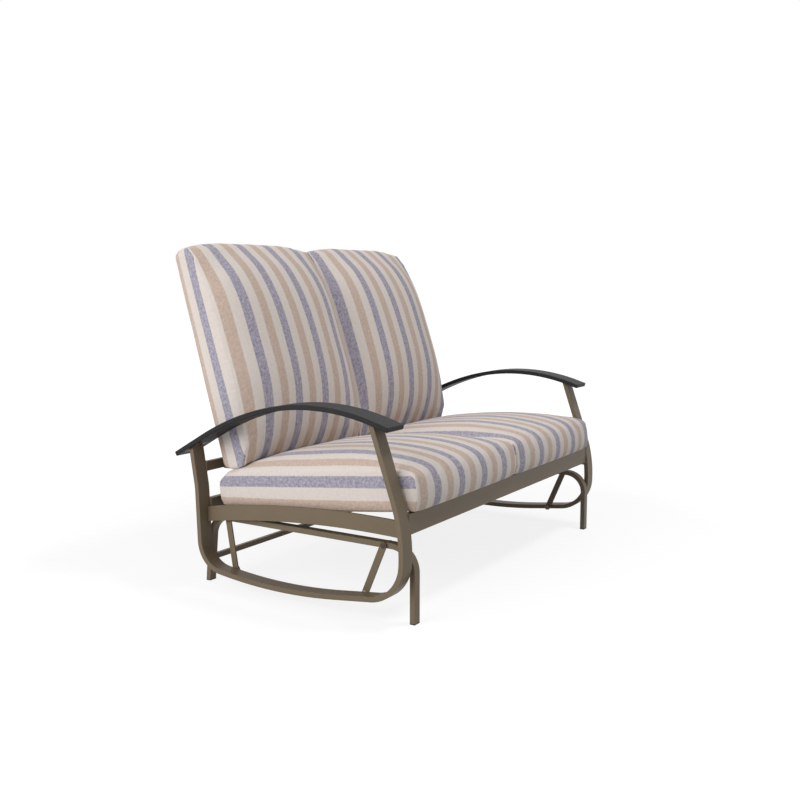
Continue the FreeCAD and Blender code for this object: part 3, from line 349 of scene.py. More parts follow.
def linen_finish(name, seam, middle_stripe, side_stripes, taper):
    """Striped linen weave.

    It reads the attribute "cloth", the place of each point in the cover before it was filled:
    X from the cushion's middle, Y from its front or lower end, Z from the face that it rests on.
    The stripes run along the cushion on its large panel, and along the side panels beyond a seam,
    where side_stripes gives the height of the blue stripe's middle. They close up by the taper, the
    share by which a side panel gets lower in a metre.
    """
    sizes = sizes_of("cushions")
    repeat = sizes.stripe_repeat
    finish = Finish(name, Roughness=0.92, Sheen_Weight=0.22, Sheen_Roughness=0.45, IOR=1.3)
    split = finish.nodes.new("ShaderNodeSeparateXYZ")
    finish.set(split, {"Vector": finish.add("Attribute", {}, "Vector", attribute_name="cloth")})
    x, y, z = split.outputs
    side = finish.math("GREATER_THAN", finish.math("ABSOLUTE", x), seam)

    def on_panel(main, boxing):
        """One value on the main panel and another on the side panels."""
        return finish.add("Mix", {0: side, 2: main, 3: boxing}, data_type="FLOAT")

    # A third of a repeat above the blue stripe, a side panel stays plain up to its seam.
    thinning = finish.math("MULTIPLY_ADD", y, -taper, 1.0)
    height = finish.math("MINIMUM", finish.math("DIVIDE", z, thinning), side_stripes + repeat / 3)
    across = on_panel(x, height)
    along = on_panel(finish.math("SUBTRACT", y, z), y)
    plane = finish.add("CombineXYZ", {"X": across, "Y": along, "Z": side})

    # The place in a repeat, as a share of it.
    wander = finish.math("SUBTRACT", finish.noise(plane, scale=260.0, detail=2.0), 0.5)
    moved = finish.math("MULTIPLY_ADD", wander, STRIPE_WANDER, across)
    blue_middle = on_panel(0.0 if middle_stripe == "blue" else repeat / 2, side_stripes)
    from_blue = finish.math("DIVIDE", finish.math("SUBTRACT", moved, blue_middle), repeat)
    turn = finish.math("WRAP", finish.math("ADD", from_blue, BLUE_AT), 1.0, 0.0)

    # Heathered yarns: slubs along the stripes and across them, and a broad mottle.
    def yarns(across_scale, along_scale, detail=3.0):
        spread = finish.stretched(plane, (across_scale, along_scale, 1.0))
        return finish.noise(spread, detail=detail, rough=0.6)

    weft = yarns(45.0, 300.0)
    warp = yarns(300.0, 45.0)
    mottle = yarns(120.0, 120.0, 4.0)
    slub = finish.math("MULTIPLY", finish.math("ADD", weft, warp), 0.5)
    heather = finish.joined(mottle, 0.55, slub)
    contrast = finish.add("MapRange", {"Value": heather, "From_Min": 0.34, "From_Max": 0.66})

    def dyed(dye):
        """One colour of the cloth, varied by its yarns."""
        depth = HEATHER[dye]
        return finish.shades(contrast, getattr(sizes_of("colours"), dye), 1 - depth, 1 + depth)

    def stripe(middle):
        """1 inside the stripe whose middle lies at a share of the repeat, 0 outside it."""
        half = sizes.stripe_width / repeat / 2
        inputs = {
            "Value": finish.math("ABSOLUTE", finish.math("SUBTRACT", turn, middle)),
            "From_Min": half - STRIPE_BLUR, "From_Max": half + STRIPE_BLUR,
            "To_Min": 1.0, "To_Max": 0.0,
        }
        return finish.add("MapRange", inputs)

    def thread(value):
        """The height of a yarn that passes over and under others."""
        return finish.math("SINE", finish.math("MULTIPLY", value, 2 * math.pi / YARN_PAIR))

    with_blue = finish.mix(stripe(BLUE_AT), dyed("cream"), dyed("blue"))
    weave = finish.math("MULTIPLY", thread(across), thread(along))
    coarse = finish.bump(heather, strength=0.5, distance=0.0009)
    finish.surface(
        Base_Color=finish.mix(stripe(TAN_AT), with_blue, dyed("tan")),
        Normal=finish.bump(weave, strength=0.35, distance=0.0003, normal=coarse),
    )
    return finish.material


# Rigid pieces. Each is a copy of its solid with its facets merged and its edges rounded.

PAINTED = [
    "base_hoop_left", "base_hoop_right", "rear_stretcher", "side_loop_left", "side_loop_right",
    "side_rail_left", "side_rail_right", "front_rail", "rear_rail", "back_cross_rail",
    "back_upright_left", "back_upright_centre", "back_upright_right", "back_top_rail",
]
WELDED = {
    "seat_frame_welds": ("seat", ["front_rail", "rear_rail", "back_cross_rail"]),
    "base_welds": ("base", ["rear_stretcher"]),
}
HARDWARE = {
    "hardware": [
        "upper_pivot_bolts", "upper_pivot_nuts", "lower_pivot_bolts", "arm_screws",
        "seat_strap_clips", "back_strap_clips",
    ],
    "nylon": [
        f"{end}_link_washers_{side}" for end in ("front", "rear") for side in SIDES
    ],
    "glide_polymer": ["foot_glides_front", "foot_glides_rear"],
}

# Corners nearer than SAME_PLACE are one, and so are faces that turn by less than FLAT. Edges that
# turn by more than SHARP are rounded in ROUND_STEPS.
SAME_PLACE = 2e-5
FLAT = math.radians(0.4)
SHARP = math.radians(24)
ROUND_STEPS = 3

# Only edges that belong to runs longer than this are rounded on tubes.
TUBE_REACH = 0.2

# Half of a ripple in a bead of weld is RIPPLE long. As shares of the bead's radius, its edges are
# rounded by BEAD_ROUNDING and its ripples are RIPPLE_HEIGHT high.
RIPPLE = 0.0022
BEAD_ROUNDING = 0.9
RIPPLE_HEIGHT = 0.12


def merged_copy(node, name):
    """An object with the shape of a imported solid, its triangles joined into whole faces."""
    mesh = frame["nodes"][node].data.copy()
    mesh.name = name
    bm = bmesh.new()
    bm.from_mesh(mesh)
    bmesh.ops.remove_doubles(bm, verts=bm.verts, dist=SAME_PLACE)
    bmesh.ops.dissolve_limit(bm, angle_limit=FLAT, verts=bm.verts, edges=bm.edges)
    bm.to_mesh(mesh)
    bm.free()
    mesh.materials.clear()
    mesh.shade_smooth()
    mesh.set_sharp_from_angle(angle=SHARP)
    return in_scene(name, mesh)


def new_piece(name, bm):
    """An object from a bmesh."""
    mesh = bpy.data.meshes.new(name)
    bm.to_mesh(mesh)
    bm.free()
    return in_scene(name, mesh)


def body_of_node(node):
    """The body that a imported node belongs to."""
    bodies = frame["record"]["behaviour"]["bodies"]
    return next(body for body, nodes in bodies.items() if node in nodes)


def long_edges(mesh, reach):
    """Marks the sharp edges in runs longer than reach, so that only they are rounded."""
    bm = bmesh.new()
    bm.from_mesh(mesh)
    weight = bm.edges.layers.float.new("bevel_weight_edge")
    sharp = {
        edge for edge in bm.edges
        if len(edge.link_faces) == 2 and edge.calc_face_angle() > SHARP
    }
    while sharp:
        run = [sharp.pop()]
        for edge in run:
            for vertex in edge.verts:
                joined = [other for other in vertex.link_edges if other in sharp]
                sharp.difference_update(joined)
                run.extend(joined)
        places = [vertex.co for edge in run for vertex in edge.verts]
        spans = [max(p[axis] for p in places) - min(p[axis] for p in places) for axis in range(3)]
        for edge in run:
            edge[weight] = 1.0 if max(spans) > reach else 0.0
    bm.to_mesh(mesh)
    bm.free()


def dress(node, material, edge, reach=0.0):
    """Shows a node as a merged copy with rounded edges and a finish of its own."""
    piece = merged_copy(node, f"{node}_shown")
    rounding = piece.modifiers.new("Edge", "BEVEL")
    rounding.width = edge
    rounding.segments = ROUND_STEPS
    rounding.harden_normals = True
    if reach:
        long_edges(piece.data, reach)
        rounding.limit_method = "WEIGHT"
    else:
        rounding.limit_method = "ANGLE"
        rounding.angle_limit = SHARP
    piece.data.materials.append(material)
    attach(piece, body_of_node(node))
    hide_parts(node)


def weld_bead(bm, low, high, x):
    """A rippled bead of weld round the end of a rail whose outline has these corners."""
    bead = sizes_of("frame").bead
    middle = (low + high) / 2
    size = high - low + Vector((0, 2 * bead, 2 * bead))
    verts = bmesh.ops.create_cube(bm, size=1.0)["verts"]
    bmesh.ops.scale(bm, vec=(2 * bead, size.y, size.z), verts=verts)
    edges = list({edge for vertex in verts for edge in vertex.link_edges})
    rounded = bmesh.ops.bevel(
        bm, geom=edges, offset=BEAD_ROUNDING * bead, segments=ROUND_STEPS, profile=0.5,
        affect="EDGES", material=-1,
    )
    faces = {face for vertex in rounded["verts"] for face in vertex.link_faces}
    for axis, room in ((1, size.y), (2, size.z)):
        way = Vector(1.0 if other == axis else 0.0 for other in range(3))
        for cut in range(1, int(room / RIPPLE)):
            faces = {face for face in faces if face.is_valid}
            edges = {edge for face in faces for edge in face.edges}
            verts = {vertex for face in faces for vertex in face.verts}
            cut_made = bmesh.ops.bisect_plane(
                bm, geom=[*verts, *edges, *faces], dist=1e-6,
                plane_co=way * (cut * RIPPLE - room / 2), plane_no=way,
            )
            faces = {item for item in cut_made["geom"] if isinstance(item, bmesh.types.BMFace)}
    for vertex in {vertex for face in faces for vertex in face.verts}:
        wave = math.sin(math.pi * (vertex.co.y + vertex.co.z) / RIPPLE)
        out = Vector((0, vertex.co.y, vertex.co.z)).normalized()
        vertex.co += out * wave * RIPPLE_HEIGHT * bead
        vertex.co += Vector((x, middle.y, middle.z))


# Cushions. One cover of each kind is filled, and its mirror image serves the other side. Their
# places are in a cushion's own axes: X from its middle, Y from its front or lower end, Z from the
# face that lies on its straps.

CARRIERS = {"seat": "seat_straps", "back": "back_straps"}
SEEDS = {
    ("seat", "left"): 3.0, ("seat", "right"): 17.0, ("back", "left"): 31.0, ("back", "right"): 47.0,
}

# The blue stripe's middle on the side panels, as a height, and the share by which these panels
# get lower in a metre.
SIDE_BLUE = {"seat": 0.081, "back": 0.080}
TAPER = {"seat": 0.08, "back": 0.31}

# How stuffing holds each cover, beyond its solid: the crown at the side seams and in the middle,
# the powers by which it falls off across and along the solid and the filled cover, and how far
# the lower corners sink beside the crown of the cushion below.
FORMS = {
    "seat": {"edge": 0.005, "crown": 0.038, "across": (6, 6), "along": (2, 2.7), "sink": 0.0},
    "back": {"edge": 0.020, "crown": 0.060, "across": (3, 4.2), "along": (2, 3.2), "sink": 0.040},
}

# The crown ends END_ROLL before a cushion's ends. Above the height CROWN_FROM the cloth follows it,
# wholly from CROWN_GROWS higher.
END_ROLL = 0.042
CROWN_FROM = 0.085
CROWN_GROWS = 0.03

# The lower corners sink less and less up to SINK_RUN. Those in the bench's middle sink further, by
# this factor.
SINK_RUN = 0.28
INNER_SINK = 1.4

# A back cushion's rear edges are drawn back below this height.
REAR_DEPTH = 0.1

# A seat cushion's front stands out over the rail by FRONT_OUT, less and less up to FRONT_RUN. The
# facet of its solid that starts at the Y and Z of EDGE_START and runs along EDGE_RUN for EDGE_LONG
# bulges by EDGE_OUT, together with what is nearer to it than EDGE_NEAR.
FRONT_OUT = 0.011
FRONT_RUN = 0.15
EDGE_START = (0.0015, 0.080)
EDGE_RUN = (0.76, 0.65)
EDGE_LONG = 0.053
EDGE_NEAR = 0.006
EDGE_OUT = 0.011

# The lower edges of a seat cushion's sides hang by SAG between the rails, which hold the cushion
# over RAIL_HOLD at its front and its rear end, and by FRONT_SAG before them, up to FRONT_SAG_RUN.
# They do so from a share of the way to the seams, and below a height.
SAG = 0.007
FRONT_SAG = 0.004
RAIL_HOLD = (0.05, 0.09)
FRONT_SAG_RUN = 0.03
SAG_FROM_SHARE = 0.8
SAG_BELOW = 0.06

# Facets are smoothed away. Each step of smoothing is followed by its opposite, which keeps the
# cover from shrinking. The panel is what lies PANEL_MARGIN inside the sides, above PANEL_FROM.
SMOOTHING = (0.5, -0.47)
PANEL_SMOOTHINGS = 30
EDGE_SMOOTHINGS = 3
PANEL_MARGIN = 0.02
PANEL_FROM = 0.012

# The cloth simulation: its length in frames, how firmly a seam is held, and the cloth itself.
FRAMES = 20
SEAM_HOLD = 0.6
CLOTH = {
    "quality": 5,
    "mass": 0.3,
    "tension_stiffness": 12,
    "compression_stiffness": 12,
    "shear_stiffness": 5,
    "bending_stiffness": 3.0,
    "shrink_min": 0.0,
    "pin_stiffness": 1.0,
}

# Puckers beside a seam and faint lumps in the stuffing. Each has the number of its waves in a
# metre and its height. Puckers reach less far over a side panel than over the large one, and both
# fade below the height LUMPS_FROM.
PUCKER_WAVES = 46
PUCKER_HEIGHT = 0.0006
PUCKER_REACH = {"side": 0.004, "large": 0.016}
LUMP_WAVES = 6
LUMP_HEIGHT = 0.0018
LUMPS_FROM = 0.02

# Cloth that is nearer than TOUCH to the cushion below, up to PRESS_REACH deep, is pressed to lie
# CLEAR of it. Cushions side by side stay as far from the bench's middle.
TOUCH = 0.0004
CLEAR = 0.0006
PRESS_REACH = 0.06


def own_axes(kind, side):
    """A cushion's own axes, X across the bench and Z away from its straps, and its room in them."""
    node = f"{kind}_cushion_{side}"
    areas = {}
    for face in frame["nodes"][CARRIERS[kind]].data.polygons:
        key = tuple(round(value, 3) for value in face.normal)
        areas[key] = areas.get(key, 0.0) + face.area
    out = Vector(max(areas, key=areas.get)).normalized()
    own, carrier = (sum(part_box(name), Vector()) for name in (node, CARRIERS[kind]))
    if out.dot(own - carrier) < 0:
        out.negate()
    across = Vector((1, 0, 0))
    turn = Matrix((across, out.cross(across), out)).transposed().to_4x4()
    places = [turn.inverted() @ vertex.co for vertex in frame["nodes"][node].data.vertices]
    low = Vector(min(place[axis] for place in places) for axis in range(3))
    high = Vector(max(place[axis] for place in places) for axis in range(3))
    origin = turn @ Vector(((low.x + high.x) / 2, low.y, low.z))
    return Matrix.Translation(origin) @ turn, high - low


def settle(piece):
    """Replaces a piece's mesh by what its modifiers make of it."""
    graph = bpy.context.evaluated_depsgraph_get()
    mesh = bpy.data.meshes.new_from_object(piece.evaluated_get(graph))
    piece.modifiers.clear()
    old = piece.data
    piece.data = mesh
    bpy.data.meshes.remove(old)


def fuller(place, kind, room):
    """How far a point of a cushion's solid moves to where the stuffing holds it."""
    form = FORMS[kind]
    share = min(1.0, 2 * abs(place.x) / room.x)
    run = min(1.0, abs(place.y - room.y / 2) / (room.y / 2 - END_ROLL))
    crowns = []
    for across, along in zip(form["across"], form["along"]):
        crowns.append((form["edge"] + form["crown"] * (1 - share**across)) * (1 - run**along))
    above = min(1.0, max(0.0, (place.z - CROWN_FROM) / CROWN_GROWS))
    rise = above * (crowns[1] - crowns[0])
    sink = form["sink"] * (INNER_SINK if place.x > 0 else 1.0)
    forward = sink * share**5 * max(0.0, 1 - place.y / SINK_RUN) ** 2
    if kind == "back" and place.z < REAR_DEPTH:
        # The rear edges hang past the straps' ends, close to the uprights.
        drawn = sizes_of("cushions").rear_drawn * share**4
        rise += drawn * (place.z - REAR_DEPTH) / (REAR_DEPTH - drawn)
    if kind == "seat":
        # The front stands out over the rail, and its upper edge is full.
        forward += FRONT_OUT * max(0.0, 1 - place.y / FRONT_RUN)
        y, z = place.y - EDGE_START[0], place.z - EDGE_START[1]
        along = y * EDGE_RUN[0] + z * EDGE_RUN[1]
        off = z * EDGE_RUN[0] - y * EDGE_RUN[1]
        middle = 1 - (2 * along / EDGE_LONG - 1) ** 2
        if abs(off) < EDGE_NEAR and middle > 0:
            forward += EDGE_OUT * EDGE_RUN[1] * middle
            rise += EDGE_OUT * EDGE_RUN[0] * middle
    return Vector((0, -forward, rise))


def sagged(place, seam, long):
    """How far a seat cushion's side hangs below its straps, between the rails and before them."""
    beside = max(0.0, abs(place.x) / seam - SAG_FROM_SHARE) / (1 - SAG_FROM_SHARE)
    way = (place.y - RAIL_HOLD[0]) / (long - sum(RAIL_HOLD))
    between = math.sin(math.pi * min(1.0, max(0.0, way)))
    ahead = max(0.0, 1 - place.y / FRONT_SAG_RUN)
    low = max(0.0, 1 - place.z / SAG_BELOW)
    return low * (SAG * min(1.0, beside) * between**0.5 + FRONT_SAG * ahead)


def even_cover(kind):
    """The left cushion's solid as an even grid of cloth in its own axes, with no facets left."""
    sizes = sizes_of("cushions")
    place, room = own_axes(kind, "left")
    piece = merged_copy(f"{kind}_cushion_left", f"{kind}_cover")
    piece.data.transform(place.inverted())
    grid = piece.modifiers.new("Grid", "REMESH")
    grid.mode = "VOXEL"
    grid.voxel_size = sizes.cell
    settle(piece)
    bm = bmesh.new()
    bm.from_mesh(piece.data)
    for vertex in bm.verts:
        vertex.co += fuller(vertex.co, kind, room)
    axes = {f"use_axis_{axis}": True for axis in "xyz"}
    inner = [
        vertex for vertex in bm.verts
        if abs(vertex.co.x) < room.x / 2 - PANEL_MARGIN and vertex.co.z > PANEL_FROM
    ]
    for verts, times in ((inner, PANEL_SMOOTHINGS), (bm.verts, EDGE_SMOOTHINGS)):
        for _ in range(times):
            for factor in SMOOTHING:
                bmesh.ops.smooth_vert(bm, verts=verts, factor=factor, **axes)
    bm.normal_update()
    for vertex in bm.verts:
        if vertex.co.z > sizes.cell:
            vertex.co -= vertex.normal * sizes.draw_in
        else:
            vertex.co.z = max(vertex.co.z, 0.0)
    bm.to_mesh(piece.data)
    bm.free()
    return piece, room


def fill_cover(piece, held):
    """Swells a cover by simulated pressure. held maps a weight to the points that it holds."""
    sizes = sizes_of("cushions")
    start = [vertex.co.copy() for vertex in piece.data.vertices]
    group = piece.vertex_groups.new(name="held")
    for weight, indices in held.items():
        group.add(indices, weight, "REPLACE")
    cloth = piece.modifiers.new("Filling", "CLOTH")
    for key, value in CLOTH.items():
        setattr(cloth.settings, key, value)
    cloth.settings.use_pressure = True
    cloth.settings.uniform_pressure_force = sizes.filling
    cloth.settings.effector_weights.gravity = 0.0
    cloth.settings.vertex_group_mass = "held"
    cloth.point_cache.frame_start = 1
    cloth.point_cache.frame_end = FRAMES
    for step in range(1, FRAMES + 1):
        bpy.context.scene.frame_set(step)
    settle(piece)
    bpy.context.scene.frame_set(1)
    piece.vertex_groups.clear()
    for vertex, before in zip(piece.data.vertices, start):
        move = vertex.co - before
        vertex.co = before + move / math.hypot(1.0, move.length / sizes.most_swell)


def sew_seams(piece, rest, seam):
    """Cuts a crease round each side panel of a filled cover, and notes where its cloth came from."""
    sizes = sizes_of("cushions")
    bm = bmesh.new()
    bm.from_mesh(piece.data)
    move = bm.verts.layers.float_vector.new("move")
    cloth = bm.verts.layers.float_vector.new("cloth")
    for vertex, before in zip(bm.verts, rest):
        vertex[move] = vertex.co - before
        vertex.co = before
    # Points near a line are put on it, so that no sliver is cut off beside them.
    snap = 0.3 * sizes.seam_half
    for side in SIDES.values():
        for share in (-1, 0, 1):
            line = side * (seam + share * sizes.seam_half)
            for vertex in bm.verts:
                if abs(vertex.co.x - line) < snap:
                    vertex.co.x = line
            geometry = bm.verts[:] + bm.edges[:] + bm.faces[:]
            bmesh.ops.bisect_plane(
                bm, geom=geometry, dist=1e-5, plane_co=(line, 0, 0), plane_no=(1, 0, 0)
            )
    for vertex in bm.verts:
        vertex[cloth] = vertex.co
        vertex.co = vertex.co + vertex[move]
    bm.verts.layers.float_vector.remove(move)
    bm.normal_update()
    cloth = bm.verts.layers.float_vector["cloth"]
    normals = [vertex.normal.copy() for vertex in bm.verts]
    for vertex, normal in zip(bm.verts, normals):
        if abs(abs(vertex[cloth].x) - seam) < 1e-4:
            vertex.co -= normal * sizes.seam_depth
    bm.to_mesh(piece.data)
    bm.free()


def filled_cover(kind):
    """A filled and sewn cushion of one kind, as the left one, in its own axes."""
    sizes = sizes_of("cushions")
    piece, room = even_cover(kind)
    seam = room.x / 2 - sizes.seam_inset
    rest = [vertex.co.copy() for vertex in piece.data.vertices]
    near = sizes.cell / 2
    resting = [i for i, p in enumerate(rest) if p.z < near]
    sewn = [
        i for i, p in enumerate(rest)
        if p.z >= near and abs(abs(p.x) - seam + sizes.draw_in / 2) < near
    ]
    fill_cover(piece, {1.0: resting, SEAM_HOLD: sewn})
    sew_seams(piece, rest, seam - sizes.draw_in)
    return piece, seam - sizes.draw_in


def lumps(place, seam, seed):
    """How far the stuffing lifts a point of the cloth, in faint lumps and puckers at a seam."""
    beyond = abs(place.x) - seam
    reach = PUCKER_REACH["side" if beyond > 0 else "large"]
    pucker = noise.noise(place * PUCKER_WAVES + seed) * PUCKER_HEIGHT
    lump = noise.noise(place * LUMP_WAVES + seed) * LUMP_HEIGHT
    both = pucker * math.exp(-abs(beyond) / reach) + lump
    return both * min(1.0, max(place.z, 0.0) / LUMPS_FROM)


def keep_apart(mesh, kind, side):
    """Keeps a cushion on its own side of the bench's middle, and within its solid's outer side."""
    way = SIDES[side]
    low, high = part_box(f"{kind}_cushion_{side}")
    outer = max(abs(low.x), abs(high.x))
    for vertex in mesh.vertices:
        vertex.co.x = way * min(max(vertex.co.x * way, CLEAR), outer)


def rest_on(piece, below):
    """Presses a cushion's lower end flat where it would sink into the cushion below."""
    tree = BVHTree.FromObject(below, bpy.context.evaluated_depsgraph_get())
    for vertex in piece.data.vertices:
        place, normal, _, _ = tree.find_nearest(vertex.co, PRESS_REACH)
        if place is not None and (vertex.co - place).dot(normal) < TOUCH:
            vertex.co = place + normal * CLEAR


def cushion(kind, side, cover, seam):
    """One cushion: the cover, turned round for the right side, with faint lumps of its own."""
    name = f"{kind}_cushion_{side}_padded"
    mesh = cover.data.copy()
    mesh.name = name
    bm = bmesh.new()
    bm.from_mesh(mesh)
    cloth = bm.verts.layers.float_vector["cloth"]
    if side == "right":
        bmesh.ops.scale(bm, vec=(-1, 1, 1), verts=bm.verts)
        bmesh.ops.reverse_faces(bm, faces=bm.faces)
        for vertex in bm.verts:
            vertex[cloth] = Vector((-1, 1, 1)) * vertex[cloth]
    bm.normal_update()
    seed = Vector((SEEDS[kind, side], 0, 0))
    lean = 1 + sizes_of("cushions").lean_in / seam
    axes, room = own_axes(kind, side)
    for vertex in bm.verts:
        place = vertex[cloth]
        vertex.co += vertex.normal * lumps(place, seam, seed)
        vertex.co.z = max(vertex.co.z, 0.0)
        if vertex.co.x * SIDES[side] < 0:
            vertex.co.x *= lean
        if kind == "seat":
            vertex.co.z -= sagged(place, seam, room.y)
    bm.to_mesh(mesh)
    bm.free()
    mesh.transform(axes)
    keep_apart(mesh, kind, side)
    mesh.shade_smooth()
    middle_stripe = "tan" if side == "left" else "blue"
    mesh.materials.append(
        linen_finish(f"linen_{kind}_{side}", seam, middle_stripe, SIDE_BLUE[kind], TAPER[kind])
    )
    piece = in_scene(name, mesh)
    smooth = piece.modifiers.new("Smooth", "SUBSURF")
    smooth.levels = 1
    smooth.render_levels = 1
    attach(piece, "seat")
    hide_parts(f"{kind}_cushion_{side}")


def make_cushions(kind):
    """Both cushions of one kind."""
    cover, seam = filled_cover(kind)
    for side in SIDES:
        cushion(kind, side, cover, seam)
    bpy.data.objects.remove(cover)


# The stage.

# A square lamp's place, the length of its side and its power in watts. All lamps point at LIT.
LAMPS = {
    "side_lamp": ((-4.6, 0.9, 2.4), 3.0, 155.0),
    "top_lamp": ((0.45, -1.8, 5.0), 0.9, 95.0),
}
LIT = Vector((0, 0, 0.5))
ROOM_LIGHT = 0.33

# The floor's grey in the light that it gives back, the grey that the bench's shadow falls on, and
# its glow: from the first to the second distance off the bench, from the first to the last glow.
FLOOR_GREY = (0.65, 0.65, 0.65, 1.0)
SHADOW_GREY = (0.2, 0.2, 0.2, 1.0)
FLOOR_GLOW = {"From_Min": 1.2, "From_Max": 2.6, "To_Min": 0.835, "To_Max": 1.0}


def floor_finish(name):
    """A floor that looks white, from a faint glow that is weaker near the bench and its shadow."""
    finish = Finish(name, Base_Color=FLOOR_GREY, Roughness=1.0, Specular_IOR_Level=0.0)
    away = finish.add("VectorMath", {"Vector": finish.place()}, "Value", operation="LENGTH")
    strength = finish.add("MapRange", {"Value": away, **FLOOR_GLOW})
    glow = finish.add("Emission", {"Color": WHITE, "Strength": strength})
    matt = finish.add("BsdfDiffuse", {"Color": SHADOW_GREY})
    white = finish.add("AddShader", {0: glow, 1: matt})
    plain = finish.shader.outputs[0]
    mixed = finish.add("MixShader", {0: finish.seen_directly(), 1: plain, 2: white})
    finish.set(finish.nodes["Material Output"], {"Surface": mixed})
    return finish.material


def light_room(scene):
    """Soft light all round, a broad lamp at the bench's left and a small one high over its front."""
    world = bpy.data.worlds.new("pale_room")
    world.use_nodes = True
    room = ShaderNodes(world.node_tree)
    soft = room.nodes["Background"]
    room.set(soft, {"Color": WHITE, "Strength": ROOM_LIGHT})
    white = room.add("Background", {"Color": WHITE, "Strength": 1.0})
    inputs = {0: room.seen_directly(), 1: soft.outputs[0], 2: white}
    room.set(room.nodes["World Output"], {"Surface": room.add("MixShader", inputs)})
    scene.world = world
    for name, (place, size, power) in LAMPS.items():
        data = bpy.data.lights.new(name, "AREA")
        data.shape = "SQUARE"
        data.size = size
        data.energy = power
        lamp = in_scene(name, data)
        lamp.location = place
        lamp.rotation_euler = (LIT - Vector(place)).to_track_quat("-Z", "Y").to_euler()


# The parts of the add-on.


class GLIDER_OT_frame(bpy.types.Operator):
    """Dresses the powder coated tubes of the base and of the swinging frame"""

    bl_idname = "glider.frame"
    bl_label = "Painted Frame"

    def execute(self, context):
        sizes = sizes_of("frame")
        material = paint_finish("powder_coat", sizes_of("colours").paint)
        for node in PAINTED:
            dress(node, material, sizes.tube_edge, TUBE_REACH)
        dress("arm_plates", material, sizes.fine_edge)
        return {"FINISHED"}


class GLIDER_OT_welds(bpy.types.Operator):
    """Adds the beads of weld round the ends of the cross rails"""

    bl_idname = "glider.welds"
    bl_label = "Welds"

    def execute(self, context):
        for name, (body, rails) in WELDED.items():
            bm = bmesh.new()
            for rail in rails:
                low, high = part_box(rail)
                for x in (low.x, high.x):
                    weld_bead(bm, low, high, x)
            bmesh.ops.recalc_face_normals(bm, faces=bm.faces)
            piece = new_piece(name, bm)
            piece.data.shade_smooth()
            piece.data.materials.append(bpy.data.materials["powder_coat"])
            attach(piece, body)
        return {"FINISHED"}


class GLIDER_OT_links(bpy.types.Operator):
    """Dresses the four flat links"""

    bl_idname = "glider.links"
    bl_label = "Links"

    def execute(self, context):
        material = paint_finish("powder_coat_links", sizes_of("colours").paint)
        for end in ("front", "rear"):
            for side in SIDES:
                dress(f"{end}_link_{side}", material, sizes_of("frame").fine_edge)
        return {"FINISHED"}


class GLIDER_OT_hardware(bpy.types.Operator):
    """Dresses bolts, nuts, screws, washers, clips and feet"""

    bl_idname = "glider.hardware"
    bl_label = "Hardware"

    def execute(self, context):
        colours = sizes_of("colours")
        finishes = {
            "hardware": steel_finish("bronzed_steel", colours.steel),
            "nylon": plastic_finish("nylon", colours.nylon, rough=0.45),
            "glide_polymer": plastic_finish("foot_plastic", colours.glide, rough=0.5),
        }
        for slot, nodes in HARDWARE.items():
            for node in nodes:
                dress(node, finishes[slot], sizes_of("frame").fine_edge)
        return {"FINISHED"}


class GLIDER_OT_armrests(bpy.types.Operator):
    """Dresses the two arched armrest planks"""

    bl_idname = "glider.armrests"
    bl_label = "Armrests"

    def execute(self, context):
        material = plank_finish("charcoal_plank", sizes_of("colours").arm)
        for side in SIDES:
            dress(f"armrest_{side}", material, sizes_of("frame").arm_edge)
        return {"FINISHED"}


class GLIDER_OT_straps(bpy.types.Operator):
    """Dresses the woven straps that carry the cushions"""

    bl_idname = "glider.straps"
    bl_label = "Straps"

    def execute(self, context):
        material = strap_finish("woven_strap", sizes_of("colours").strap)
        for node in CARRIERS.values():
            dress(node, material, sizes_of("frame").fine_edge)
        return {"FINISHED"}


class GLIDER_OT_seat_cushions(bpy.types.Operator):
    """Makes the two seat cushions"""

    bl_idname = "glider.seat_cushions"
    bl_label = "Seat Cushions"

    def execute(self, context):
        make_cushions("seat")
        return {"FINISHED"}


class GLIDER_OT_back_cushions(bpy.types.Operator):
    """Makes the two back cushions, which stand on the seat cushions"""

    bl_idname = "glider.back_cushions"
    bl_label = "Back Cushions"

    def execute(self, context):
        make_cushions("back")
        objects = bpy.data.objects
        for side in SIDES:
            rest_on(objects[f"back_cushion_{side}_padded"], objects[f"seat_cushion_{side}_padded"])
        return {"FINISHED"}


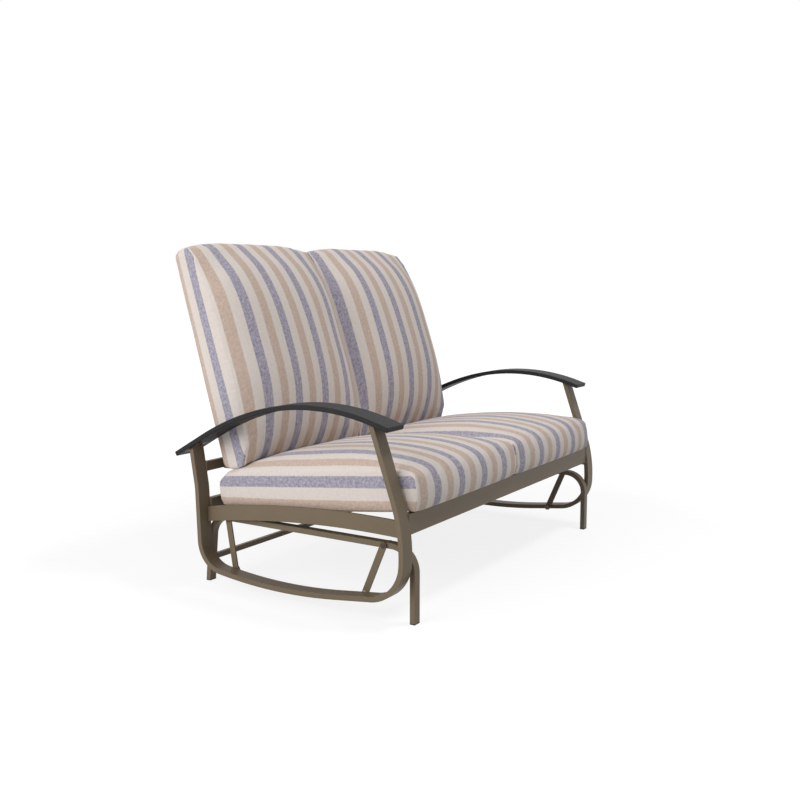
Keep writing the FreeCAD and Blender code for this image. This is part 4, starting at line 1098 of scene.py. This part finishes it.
class GLIDER_OT_stage(bpy.types.Operator):
    """Sets up the camera, the floor, the lamps and the white surroundings"""

    bl_idname = "glider.stage"
    bl_label = "Stage"

    def execute(self, context):
        stage = sizes_of("stage")
        camera = in_scene("camera", bpy.data.cameras.new("camera"))
        camera.data.lens = stage.lens
        camera.location = stage.camera_place
        camera.rotation_euler = stage.camera_turn
        context.scene.camera = camera
        bm = bmesh.new()
        bmesh.ops.create_grid(bm, x_segments=1, y_segments=1, size=stage.floor_size / 2)
        floor = new_piece("floor", bm)
        floor.data.materials.append(floor_finish("pale_floor"))
        light_room(context.scene)
        context.scene.view_settings.view_transform = "Standard"
        return {"FINISHED"}


STEPS = [
    GLIDER_OT_frame, GLIDER_OT_welds, GLIDER_OT_links, GLIDER_OT_hardware, GLIDER_OT_armrests,
    GLIDER_OT_straps, GLIDER_OT_seat_cushions, GLIDER_OT_back_cushions, GLIDER_OT_stage,
]
GROUPS = {
    "cushions": CushionSizes, "frame": FrameSizes, "colours": BenchColours, "stage": StageSizes,
}


class GLIDER_PT_parts(bpy.types.Panel):
    """Lists the steps that make the bench"""

    bl_idname = "GLIDER_PT_parts"
    bl_label = "Glider Bench"
    bl_space_type = "VIEW_3D"
    bl_region_type = "UI"
    bl_category = "Glider Bench"

    def draw(self, context):
        for step in STEPS:
            self.layout.operator(step.bl_idname)
        for kind, group in GROUPS.items():
            box = self.layout.box()
            for name in group.__annotations__:
                box.prop(sizes_of(kind), name)


def register():
    for item in (*GROUPS.values(), *STEPS, GLIDER_PT_parts):
        bpy.utils.register_class(item)
    for kind, group in GROUPS.items():
        setattr(bpy.types.Scene, f"glider_{kind}", PointerProperty(type=group))


def unregister():
    for kind in GROUPS:
        delattr(bpy.types.Scene, f"glider_{kind}")
    for item in (GLIDER_PT_parts, *reversed(STEPS), *GROUPS.values()):
        bpy.utils.unregister_class(item)


def main():
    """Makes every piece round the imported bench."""
    register()
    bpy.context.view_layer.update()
    for step in STEPS:
        group, name = step.bl_idname.split(".")
        getattr(getattr(bpy.ops, group), name)()
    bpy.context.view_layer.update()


if __name__ == "__main__":
    main()
